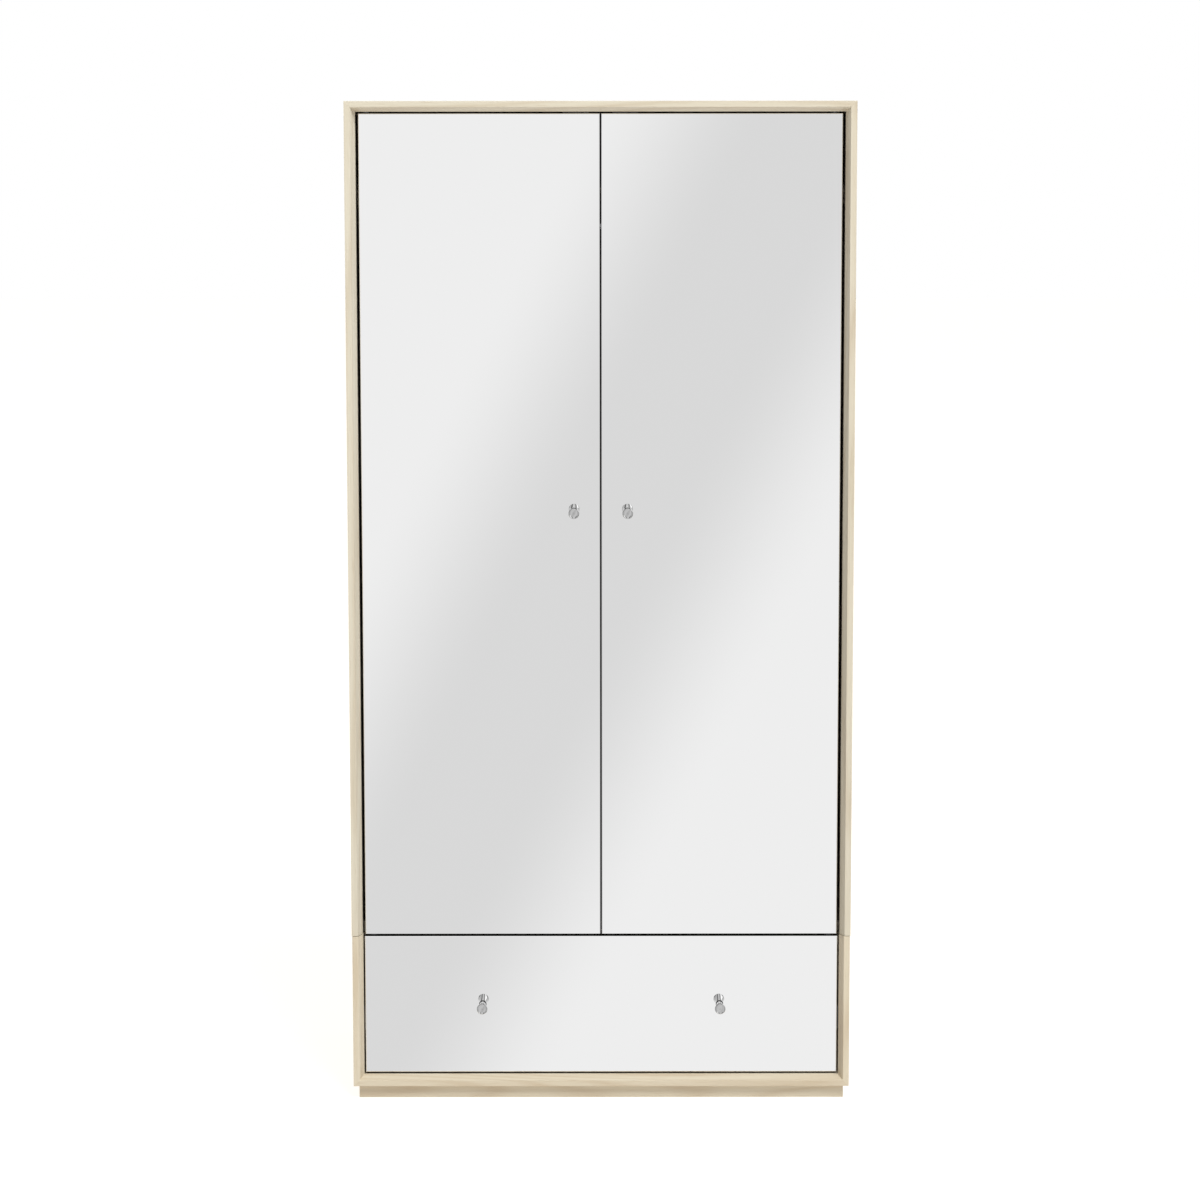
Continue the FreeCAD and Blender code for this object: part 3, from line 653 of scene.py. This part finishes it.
def plastic(name, tone, roughness):
    """Moulded plastic with a fine spark-eroded texture."""
    material = bpy.data.materials.new(name)
    material.use_nodes = True
    nodes, links = material.node_tree.nodes, material.node_tree.links
    shader = nodes["Principled BSDF"]
    shader.inputs["Base Color"].default_value = tone
    shader.inputs["Roughness"].default_value = roughness
    place = nodes.new("ShaderNodeTexCoord")
    texture = nodes.new("ShaderNodeTexNoise")
    texture.inputs["Scale"].default_value = 2500
    bump = nodes.new("ShaderNodeBump")
    bump.inputs["Distance"].default_value = 0.00003
    links.new(place.outputs["Object"], texture.inputs["Vector"])
    links.new(texture.outputs[0], bump.inputs["Height"])
    links.new(bump.outputs["Normal"], shader.inputs["Normal"])
    return material


SHADE_DARK_STEEL = shade_darkened_steel()
NYLON = plastic("bush_nylon", NYLON_TONE, NYLON_ROUGHNESS)
HINGE_SCREW_HEAD = screw_head(HINGE_SCREW, HINGE_SCREW_RISE, HINGE_SCREW_DROP)
for side, sign in SIDES:
    for end in ("top", "bottom"):
        dress(f"{side}_{end}_hinge", SHADE_DARK_STEEL)
        dress(f"{side}_{end}_bush", NYLON)
    low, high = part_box(f"{side}_top_hinge")
    x = (low.x + high.x) / 2
    places = [(x, PIVOT_Y + behind, high.z - PLATE_THICK) for behind in HINGE_SCREWS_AT]
    screws(f"{side}_hinge_screws", HINGE_SCREW_HEAD, places, (0, 0, -1), "case")
bpy.data.objects.remove(HINGE_SCREW_HEAD, do_unlink=True)

# ---- Magnetic catches ------------------------------------------------------------------------
# White plastic bodies under the top panel, each with two steel poles showing at its front, and
# a small steel plate on the back of each door, held by two screws.

CATCH_TONE = (0.78, 0.77, 0.74, 1)
CATCH_ROUGHNESS = 0.38
CATCH_EASE = 0.0012
POLE_LONG = 0.034
POLE_HIGH = 0.0022
POLE_DEEP = 0.0030
POLE_EASE = 0.0003
POLES_PROUD = 0.0006
MOUTH_PLAY = 0.0006
MOUTH_HALF_HIGH = 0.0035
MOUTH_DEEP = 0.0022
STRIKE_EASE = 0.0003
STRIKE_SUNK = 0.0002
STRIKE_SCREW = 0.0028
STRIKE_SCREWS_APART = 0.020

CATCH_PLASTIC = plastic("catch_plastic", CATCH_TONE, CATCH_ROUGHNESS)
STRIKE_SCREW_HEAD = screw_head(STRIKE_SCREW, STRIKE_SUNK, STRIKE_SUNK)
for side, sign in SIDES:
    low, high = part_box(f"{side}_catch")
    body = rough_board(f"{side}_catch_body", low + Vector((0, POLES_PROUD, 0)), high)
    middle = (low + high) / 2
    reach = POLE_LONG / 2 + MOUTH_PLAY
    rout(body, (middle.x - reach, low.y, middle.z - MOUTH_HALF_HIGH),
         (middle.x + reach, low.y + MOUTH_DEEP, middle.z + MOUTH_HALF_HIGH))
    ease(body, CATCH_EASE)
    finish_piece(body, "case", "catch_plastic", CATCH_PLASTIC, f"{side}_catch")
    poles = []
    for row in (-1, 1):
        z = middle.z + row * POLE_HIGH
        pole = rough_board(f"{side}_pole_{row}",
                           (middle.x - POLE_LONG / 2, low.y, z - POLE_HIGH / 2),
                           (middle.x + POLE_LONG / 2, low.y + POLE_DEEP, z + POLE_HIGH / 2))
        ease(pole, POLE_EASE)
        poles.append(pole)
    finish_piece(joined(f"{side}_catch_poles", poles), "case", "steel", ZINC)
    low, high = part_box(f"{side}_strike")
    plate = rough_board(f"{side}_strike_plate", low, high - Vector((0, STRIKE_SUNK, 0)))
    ease(plate, STRIKE_EASE)
    finish_piece(plate, f"{side}_door", "steel", ZINC, f"{side}_strike")
    middle = (low + high) / 2
    places = [(middle.x + end * STRIKE_SCREWS_APART / 2, high.y - STRIKE_SUNK, middle.z)
              for end in (-1, 1)]
    screws(f"{side}_strike_screws", STRIKE_SCREW_HEAD, places, (0, 1, 0), f"{side}_door")
bpy.data.objects.remove(STRIKE_SCREW_HEAD, do_unlink=True)

# ---- Mirrors ---------------------------------------------------------------------------------
# 4 mm silvered glass over the whole of each front, bored for the knobs' screws, with a narrow
# shallow arris polished all round. The cut edges are dark glass over the backing paint.

ARRIS_WIDE = 0.0011
ARRIS_DEEP = 0.0004
SCREW_HOLE = 0.0023
FACING_FRONT = -0.9
FACING_FORWARD = -0.2
SILVER_TINT = (0.93, 0.93, 0.93, 1)
CUT_TINT = (0.012, 0.022, 0.018, 1)
DOOR_KNOB_X, DOOR_KNOB_Z = 0.0485, 1.0862
DRAWER_KNOB_X, DRAWER_KNOB_Z = 0.2180, 0.1738


def silvered_glass():
    """A mirror: neutral silver, with the faintest cloud of wiping marks in its gloss."""
    material = bpy.data.materials.new("silvered_glass")
    material.use_nodes = True
    nodes, links = material.node_tree.nodes, material.node_tree.links
    shader = nodes["Principled BSDF"]
    shader.inputs["Base Color"].default_value = SILVER_TINT
    shader.inputs["Metallic"].default_value = 1
    place = nodes.new("ShaderNodeTexCoord")
    wiping = nodes.new("ShaderNodeTexNoise")
    wiping.inputs["Scale"].default_value = 6
    wiping.inputs["Detail"].default_value = 5
    wiping.inputs["Distortion"].default_value = 1.2
    gloss = nodes.new("ShaderNodeMapRange")
    gloss.inputs["From Min"].default_value = 0.45
    gloss.inputs["From Max"].default_value = 0.75
    gloss.inputs["To Min"].default_value = 0.0
    gloss.inputs["To Max"].default_value = 0.035
    links.new(place.outputs["Object"], wiping.inputs["Vector"])
    links.new(wiping.outputs[0], gloss.inputs["Value"])
    links.new(gloss.outputs[0], shader.inputs["Roughness"])
    return material


def cut_glass():
    """The cut edge of the glass, near black with a green cast, ground and not quite even."""
    material = bpy.data.materials.new("cut_glass")
    material.use_nodes = True
    nodes, links = material.node_tree.nodes, material.node_tree.links
    shader = nodes["Principled BSDF"]
    shader.inputs["Base Color"].default_value = CUT_TINT
    place = nodes.new("ShaderNodeTexCoord")
    grind = nodes.new("ShaderNodeTexNoise")
    grind.inputs["Scale"].default_value = 700
    gloss = nodes.new("ShaderNodeMapRange")
    gloss.inputs["To Min"].default_value = 0.2
    gloss.inputs["To Max"].default_value = 0.5
    links.new(place.outputs["Object"], grind.inputs["Vector"])
    links.new(grind.outputs[0], gloss.inputs["Value"])
    links.new(gloss.outputs[0], shader.inputs["Roughness"])
    return material


SILVERED = silvered_glass()
CUT_GLASS = cut_glass()


def mirror(name, node, body, knobs):
    """A mirror: its front is drawn forward inside a narrow rim, which becomes the arris."""
    low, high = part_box(node)
    glass = rough_board(name, low + Vector((0, ARRIS_DEEP, 0)), high)
    edit(glass, "DESELECT")
    bpy.ops.mesh.select_mode(type="FACE")
    leave()
    for face in glass.data.polygons:
        face.select = face.normal.y < FACING_FRONT
    bpy.ops.object.mode_set(mode="EDIT")
    bpy.ops.mesh.inset(thickness=ARRIS_WIDE, depth=ARRIS_DEEP, use_even_offset=True)
    leave()
    for x, z in knobs:
        bore(glass, (x, low.y - PAST, z), (x, high.y + PAST, z), SCREW_HOLE)
    finish_piece(glass, body, "mirror", SILVERED, node)
    glass.data.materials.append(CUT_GLASS)
    for face in glass.data.polygons:
        face.material_index = 0 if face.normal.y < FACING_FORWARD else 1


DRAWER_KNOBS = [(sign * DRAWER_KNOB_X, DRAWER_KNOB_Z) for side, sign in SIDES]
for side, sign in SIDES:
    mirror(f"{side}_door_glass", f"{side}_door_mirror", f"{side}_door",
           [(sign * DOOR_KNOB_X, DOOR_KNOB_Z)])
mirror("drawer_glass", "drawer_mirror", "drawer", DRAWER_KNOBS)

# ---- Boards behind the mirrors ---------------------------------------------------------------
# Stained boards that carry the mirrors, with squared, lightly eased edges. Their near-black stain
# is partly painted shade, so the gaps round the mirrors read black. The doors' are bored top and
# bottom for the hinge bushes, and all of them for the knobs' screws.

FRONT_EASE = 0.0005
BUSH_HOLE = 0.0040
# Near-black stain: partly the boards' own, partly painted shade for the gaps round the mirrors.
STAIN_SHADE_PALE = (0.020, 0.015, 0.011, 1)
STAIN_SHADE_DARK = (0.010, 0.008, 0.006, 1)
STAIN_AND_SHADE_BOARD = wood("stain_and_shade_board", "upright", STAIN_SHADE_PALE, STAIN_SHADE_DARK, coat=0.0)
STAIN_AND_SHADE_BOARD_ACROSS = wood("stain_and_shade_board_across", "across", STAIN_SHADE_PALE, STAIN_SHADE_DARK, coat=0.0)


def front_board(node, body, material, knobs, bushes=()):
    """A board behind a mirror, bored for its knobs' screws and its hinge bushes."""
    low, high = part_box(node)
    board = rough_board(node + "_eased", low, high)
    for x, z in knobs:
        bore(board, (x, low.y - PAST, z), (x, high.y + PAST, z), SCREW_HOLE)
    for bush in bushes:
        foot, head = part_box(bush)
        x, y = (foot.x + head.x) / 2, (foot.y + head.y) / 2
        at_top = head.z > high.z - PAST
        bore(board, (x, y, foot.z if at_top else foot.z - PAST),
             (x, y, head.z + PAST if at_top else head.z), BUSH_HOLE)
    ease(board, FRONT_EASE)
    finish_piece(board, body, "front_board", material, node)


for side, sign in SIDES:
    front_board(f"{side}_door_board", f"{side}_door", STAIN_AND_SHADE_BOARD, [(sign * DOOR_KNOB_X, DOOR_KNOB_Z)],
                [f"{side}_top_bush", f"{side}_bottom_bush"])
front_board("drawer_front_board", "drawer", STAIN_AND_SHADE_BOARD_ACROSS, DRAWER_KNOBS)

# ---- Knobs -----------------------------------------------------------------------------------
# Polished trumpet knobs, turned from brass bar and chromed: a narrow neck on a thin dark washer,
# a flare, a rounded rim and a dished face with a small turned centre.

KNOB_NECK = 0.006
KNOB_FACE = 0.00975
KNOB_RIM = 0.0015
KNOB_LIP = 0.0002
WASHER = 0.0068
WASHER_THICK = 0.0009
FLARE_RINGS = 10
KNOB_SIDES = 56
KNOB_SMOOTH = 32
KNOB_TINT = (0.56, 0.56, 0.56, 1)
KNOB_ROUGHNESS = 0.07
RUBBER_TONE = (0.02, 0.02, 0.02, 1)
RUBBER_ROUGHNESS = 0.6
KNOB_CHROME = chrome("knob_chrome", KNOB_TINT, KNOB_ROUGHNESS)
WASHER_RUBBER = plastic("washer_rubber", RUBBER_TONE, RUBBER_ROUGHNESS)


def turn(name, profile, sides):
    """Turn a solid about the -Y axis: a disc drawn out ring by ring along a profile.

    The profile lists (distance from the origin towards -Y, radius) and both ends are closed.
    """
    start, first = profile[0]
    bpy.ops.object.select_all(action="DESELECT")
    bpy.ops.mesh.primitive_circle_add(vertices=sides, radius=first, fill_type="NGON",
                                      location=(0, -start, 0),
                                      rotation=(math.radians(90), 0, 0))
    turned = bpy.context.object
    turned.name = turned.data.name = name
    bpy.ops.object.transform_apply(location=True, rotation=True, scale=True)
    edit(turned)
    along, radius = start, first
    for next_along, next_radius in profile[1:]:
        bpy.ops.mesh.extrude_region_move(
            TRANSFORM_OT_translate={"value": (0, along - next_along, 0)})
        scale = next_radius / radius
        bpy.ops.transform.resize(value=(scale, 1, scale),
                                 center_override=(0, -next_along, 0))
        along, radius = next_along, next_radius
    bpy.ops.mesh.select_all(action="SELECT")
    bpy.ops.mesh.normals_make_consistent(inside=False)
    leave()
    bpy.ops.object.shade_smooth_by_angle(angle=math.radians(KNOB_SMOOTH))
    return turned


def knob_profile(length):
    """Washer, neck, flare, rounded rim, dished face and turned centre."""
    profile = [(0.0, WASHER), (WASHER_THICK, WASHER), (WASHER_THICK, KNOB_NECK)]
    flare_end = length - KNOB_RIM
    for ring in range(1, FLARE_RINGS + 1):
        share = ring / FLARE_RINGS
        profile.append((WASHER_THICK + (flare_end - WASHER_THICK) * share,
                        KNOB_NECK + (KNOB_FACE - KNOB_LIP - KNOB_NECK) * share ** 2))
    profile += [
        (length - 0.0010, KNOB_FACE), (length - 0.0005, KNOB_FACE - 0.0001),
        (length - 0.0001, KNOB_FACE - 0.0005), (length, KNOB_FACE - 0.0010),
        (length - 0.0003, KNOB_FACE - 0.0016), (length - 0.0006, 0.0055),
        (length - 0.0006, 0.0012), (length - 0.0009, 0.0009), (length - 0.0009, 0.0003),
    ]
    return profile


def knob_foot(node):
    """The middle of a knob's foot, where it meets the glass."""
    low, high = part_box(node)
    return Vector(((low.x + high.x) / 2, high.y, (low.z + high.z) / 2))


low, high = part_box("left_door_knob")
KNOB_PATTERN = turn("knob_pattern", knob_profile(high.y - low.y), KNOB_SIDES)
KNOB_PATTERN.data.materials.append(KNOB_CHROME)
KNOB_PATTERN.data.materials.append(WASHER_RUBBER)
for face in KNOB_PATTERN.data.polygons:
    if face.center.y > -WASHER_THICK * 1.01:
        face.material_index = 1
for side, sign in SIDES:
    for kind, body in (("door", f"{side}_door"), ("drawer", "drawer")):
        node = f"{side}_{kind}_knob"
        pull = copied(KNOB_PATTERN, f"{side}_{kind}_pull", knob_foot(node))
        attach(pull, body)
        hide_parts(node)
bpy.data.objects.remove(KNOB_PATTERN, do_unlink=True)

# ---- Screws behind the knobs and joint bolts --------------------------------------------------
# Pan-headed screws from inside hold the knobs, and two bolts with sunk heads hold the cases
# together. All are bright zinc on steel.

KNOB_SCREW_HEAD = 0.0045
KNOB_SCREW_RISE = 0.0025
PAN_HEAD = screw_head(KNOB_SCREW_HEAD, KNOB_SCREW_RISE)
for side, sign in SIDES:
    dress(f"{side}_joint_bolt", ZINC)
    for node, body in ((f"{side}_door_knob_screw", f"{side}_door"),
                       (f"{side}_drawer_knob_screw", "drawer")):
        low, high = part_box(node)
        middle = (low + high) / 2
        seat = (middle.x, high.y - KNOB_SCREW_RISE, middle.z)
        head = copied(PAN_HEAD, node + "_head", seat, (0, 1, 0))
        finish_piece(head, body, "steel", ZINC, node)
bpy.data.objects.remove(PAN_HEAD, do_unlink=True)

# ---- Drawer box ------------------------------------------------------------------------------
# Two sides, an inner front and a back of pale 12 mm wood, grooved inside for a thin plywood
# bottom that is slid in from behind before the back goes on.

BOX_EASE = 0.0008
GROOVE_DEEP = 0.006
GROOVE_PLAY = 0.0002
BOX_PALE = (0.74, 0.655, 0.515, 1)
BOX_DARK = (0.60, 0.49, 0.34, 1)
PLY_PALE = (0.72, 0.62, 0.46, 1)
PLY_DARK = (0.60, 0.48, 0.32, 1)
BOX_WOOD = {run: wood("box_wood_" + run, run, BOX_PALE, BOX_DARK, figure=0.45, pores=0.3)
            for run in ALONG}
BOTTOM_PLY = wood("bottom_ply", "across", PLY_PALE, PLY_DARK, figure=0.8)

floor_low, floor_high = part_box("drawer_bottom")
groove_low, groove_high = floor_low.z - GROOVE_PLAY, floor_high.z + GROOVE_PLAY
for side, sign in SIDES:
    low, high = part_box(f"drawer_{side}_side")
    board = rough_board(f"drawer_{side}_side_board", low, high)
    inner = low.x if sign > 0 else high.x
    mouth, end = inner - sign * PAST, inner + sign * GROOVE_DEEP
    rout(board, (min(mouth, end), low.y - PAST, groove_low),
         (max(mouth, end), high.y + PAST, groove_high))
    ease(board, BOX_EASE)
    finish_piece(board, "drawer", "drawer_wood", BOX_WOOD["deep"], f"drawer_{side}_side")
for node, inward in (("drawer_inner_front", 1), ("drawer_back", -1)):
    low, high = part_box(node)
    board = rough_board(node + "_board", low, high)
    inner = high.y if inward > 0 else low.y
    mouth, end = inner + inward * PAST, inner - inward * GROOVE_DEEP
    rout(board, (low.x - PAST, min(mouth, end), groove_low),
         (high.x + PAST, max(mouth, end), groove_high))
    if inward > 0:
        for x, z in DRAWER_KNOBS:
            bore(board, (x, low.y - PAST, z), (x, high.y + PAST, z), SCREW_HOLE)
    ease(board, BOX_EASE, glued=[((low.x, 0, 0), (1, 0, 0)), ((high.x, 0, 0), (1, 0, 0))])
    finish_piece(board, "drawer", "drawer_wood", BOX_WOOD["across"], node)
board = rough_board("drawer_bottom_ply", floor_low, floor_high)
ease(board, BACK_EASE)
finish_piece(board, "drawer", "drawer_wood", BOTTOM_PLY, "drawer_bottom")

# ---- Drawer slides ---------------------------------------------------------------------------
# Three nested channels of zinc-coated steel on each side: one screwed to the case, one to the
# drawer, and one that runs between them.

SLIDE_SCREW = 0.0034
SLIDE_STEEL = 0.0012
CASE_SCREWS_AT = (0.070, 0.205)
DRAWER_SCREWS_AT = (-0.150, 0.020, 0.190)
CASE_SCREW_RISE = 0.0010
DRAWER_SCREW_RISE = 0.0018
CASE_SCREW_HEAD = screw_head(SLIDE_SCREW, CASE_SCREW_RISE)
DRAWER_SCREW_HEAD = screw_head(SLIDE_SCREW, DRAWER_SCREW_RISE)
for side, sign in SIDES:
    for member in ("case", "middle", "drawer"):
        dress(f"{side}_{member}_slide", ZINC)
    low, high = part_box(f"{side}_case_slide")
    web = high.x - SLIDE_STEEL if sign > 0 else low.x + SLIDE_STEEL
    z = (low.z + high.z) / 2
    screws(f"{side}_case_slide_screws", CASE_SCREW_HEAD, [(web, y, z) for y in CASE_SCREWS_AT],
           (-sign, 0, 0), "case")
    low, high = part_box(f"{side}_drawer_slide")
    web = low.x + SLIDE_STEEL if sign > 0 else high.x - SLIDE_STEEL
    screws(f"{side}_drawer_slide_screws", DRAWER_SCREW_HEAD,
           [(web, y, z) for y in DRAWER_SCREWS_AT], (sign, 0, 0), "drawer")
for pattern in (CASE_SCREW_HEAD, DRAWER_SCREW_HEAD):
    bpy.data.objects.remove(pattern, do_unlink=True)

# ---- Studio ----------------------------------------------------------------------------------
# A white floor that runs into a white background, and one large soft lamp high in front, to the
# right. What the mirrors and the chrome show are pale screens with soft grey bands low down in
# front, and lamps with dark gaps between them higher up.

FLOOR_SIZE = 60
EYE_BACK = 6.5
EYE_HIGH = 1.7855
EYE_ASIDE = -0.0009
EYE_PITCH = 7.524
EYE_ROLL = 0.043
LENS = 108.685
BACKGROUND = 1.0
FLOOR_TONE = 0.25
FLOOR_GLOW = 0.96
AMBIENT, FROM_ABOVE, FROM_FRONT, FROM_RIGHT = 0.02, 0.15, 0.20, 0.08
OVERHEAD, OVERHEAD_SHARP = 1.2, 4.0
BAND_BRIGHT, BAND_GREY = 0.92, 0.742
BAND_AT, BAND_HALF, BAND_END, BAND_EVERY = 0.0597, 0.014, 0.064, 0.15
BAND_SLANT = 0.52
SIDE_DARK, SIDE_FROM, SIDE_TO = 0.7, 0.2, 0.5
LAMPS_FROM, LAMPS_TO = 0.03, 0.08
CEILING, CEILING_FROM, CEILING_TO = 0.55, 0.68, 0.80
SOFT_LEAST = 0.02
SOFT_TINT = (1.0, 0.985, 0.95)
LAMP_LEVELS = (
    (0.0, 0.1), (0.24, 0.1), (0.265, 0.75), (0.35, 0.75), (0.365, 0.2), (0.42, 0.2),
    (0.44, 0.95), (0.54, 0.95), (0.555, 0.45), (0.63, 0.45), (0.65, 1.7), (0.73, 1.7),
    (0.745, 0.15), (0.80, 0.15), (0.82, 0.9), (1.0, 0.9),
)
FLOOR_TINT = (1, 0.96, 0.90, 1)
KEY_PLACE = (2.3, -4.8, 8.9)
KEY_AIM = (0, -0.2, 0.9)
KEY_SIZE = 3.5
KEY_POWER = 880
KEY_TINT = (0.94, 0.975, 1.0)


def studio_floor():
    """A wide white floor that glows a little, so that it meets the background unseen."""
    bpy.ops.object.select_all(action="DESELECT")
    bpy.ops.mesh.primitive_plane_add(size=FLOOR_SIZE, location=(0, 0, 0))
    floor = bpy.context.object
    floor.name = "studio_floor"
    material = bpy.data.materials.new("floor_white")
    material.use_nodes = True
    shader = material.node_tree.nodes["Principled BSDF"]
    shader.inputs["Base Color"].default_value = (FLOOR_TONE, FLOOR_TONE, FLOOR_TONE, 1)
    shader.inputs["Roughness"].default_value = 0.9
    shader.inputs["Specular IOR Level"].default_value = 0
    shader.inputs["Emission Color"].default_value = FLOOR_TINT
    shader.inputs["Emission Strength"].default_value = FLOOR_GLOW
    floor.data.materials.append(material)
    floor.visible_glossy = False


def surround():
    """The world: white to the camera, screens and lamps to glossy rays, soft light to the rest."""
    world = bpy.data.worlds.new("studio_surround")
    bpy.context.scene.world = world
    world.use_nodes = True
    nodes, links = world.node_tree.nodes, world.node_tree.links
    background = nodes["Background"]
    rays = nodes.new("ShaderNodeLightPath")
    way = nodes.new("ShaderNodeTexCoord")
    parts = nodes.new("ShaderNodeSeparateXYZ")
    links.new(way.outputs["Generated"], parts.inputs[0])
    rightward, backward, upward = parts.outputs

    def maths(operation, first, second=0.0, third=0.0):
        node = nodes.new("ShaderNodeMath")
        node.operation = operation
        for socket, value in zip(node.inputs, (first, second, third)):
            if isinstance(value, float):
                socket.default_value = value
            else:
                links.new(value, socket)
        return node.outputs[0]

    def ramp(value, low, high, to_low, to_high):
        node = nodes.new("ShaderNodeMapRange")
        node.interpolation_type = "SMOOTHSTEP"
        links.new(value, node.inputs["Value"])
        for name, number in (("From Min", low), ("From Max", high),
                             ("To Min", to_low), ("To Max", to_high)):
            node.inputs[name].default_value = number
        return node.outputs[0]

    frontal = maths("MAXIMUM", maths("MULTIPLY", backward, -1.0), 0.0)
    soft = maths("MULTIPLY_ADD", maths("MULTIPLY", upward, upward), FROM_ABOVE, AMBIENT)
    soft = maths("MULTIPLY_ADD", frontal, FROM_FRONT, soft)
    soft = maths("MULTIPLY_ADD", rightward, FROM_RIGHT, soft)
    soft = maths("MAXIMUM", soft, SOFT_LEAST)
    zenith = maths("POWER", maths("MAXIMUM", upward, 0.0), OVERHEAD_SHARP)
    soft = maths("MULTIPLY_ADD", zenith, OVERHEAD, soft)

    slant = maths("MULTIPLY_ADD", upward, -BAND_SLANT, rightward)
    apart = maths("PINGPONG", maths("SUBTRACT", slant, BAND_AT), BAND_EVERY)
    screens = ramp(apart, BAND_HALF, BAND_END, BAND_GREY, BAND_BRIGHT)
    aside = maths("ABSOLUTE", rightward)
    screens = maths("MULTIPLY", screens, ramp(aside, SIDE_FROM, SIDE_TO, 1.0, SIDE_DARK))
    lamps = nodes.new("ShaderNodeValToRGB")
    stops = lamps.color_ramp.elements
    while len(stops) < len(LAMP_LEVELS):
        stops.new(0.5)
    for stop, (at, level) in zip(stops, LAMP_LEVELS):
        stop.position = at
        stop.color = (level, level, level, 1)
    links.new(maths("MULTIPLY_ADD", rightward, 0.5, 0.5), lamps.inputs["Fac"])
    high = ramp(upward, LAMPS_FROM, LAMPS_TO, 0.0, 1.0)

    def mixed(factor, first, second):
        node = nodes.new("ShaderNodeMix")
        node.data_type = "RGBA"
        links.new(factor, node.inputs["Factor"])
        for socket, value in ((node.inputs[6], first), (node.inputs[7], second)):
            if isinstance(value, tuple):
                socket.default_value = value
            else:
                links.new(value, socket)
        return node.outputs[2]

    tint = nodes.new("ShaderNodeCombineColor")
    for socket, share in zip(tint.inputs, SOFT_TINT):
        links.new(maths("MULTIPLY", soft, share), socket)
    shine = mixed(high, screens, lamps.outputs["Color"])
    overhead = ramp(upward, CEILING_FROM, CEILING_TO, 0.0, 1.0)
    shine = mixed(overhead, shine, (CEILING, CEILING, CEILING, 1))
    light = mixed(rays.outputs["Is Glossy Ray"], tint.outputs[0], shine)
    white = (BACKGROUND, BACKGROUND, BACKGROUND, 1)
    links.new(mixed(rays.outputs["Is Camera Ray"], light, white), background.inputs["Color"])


def key_lamp():
    """A large square lamp that the mirrors and the chrome don't show."""
    data = bpy.data.lights.new("key_lamp", "AREA")
    data.shape = "SQUARE"
    data.size = KEY_SIZE
    data.energy = KEY_POWER
    data.color = KEY_TINT
    lamp = bpy.data.objects.new("key_lamp", data)
    bpy.context.scene.collection.objects.link(lamp)
    lamp.location = KEY_PLACE
    aim = Vector(KEY_AIM) - Vector(KEY_PLACE)
    lamp.rotation_euler = aim.to_track_quat("-Z", "Y").to_euler()
    lamp.visible_glossy = False


def camera():
    """The eye: in front of the armoire, a little higher than its middle, and tilted down."""
    data = bpy.data.cameras.new("camera")
    data.lens = LENS
    data.sensor_width = 36
    data.clip_end = 100
    eye = bpy.data.objects.new("camera", data)
    bpy.context.scene.collection.objects.link(eye)
    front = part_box("upper_top")[0].y
    eye.location = (EYE_ASIDE, front - EYE_BACK, EYE_HIGH)
    eye.rotation_euler = (math.radians(90 - EYE_PITCH), math.radians(EYE_ROLL), 0)
    bpy.context.scene.camera = eye


studio_floor()
surround()
key_lamp()
camera()
bpy.context.scene.view_settings.view_transform = "Standard"
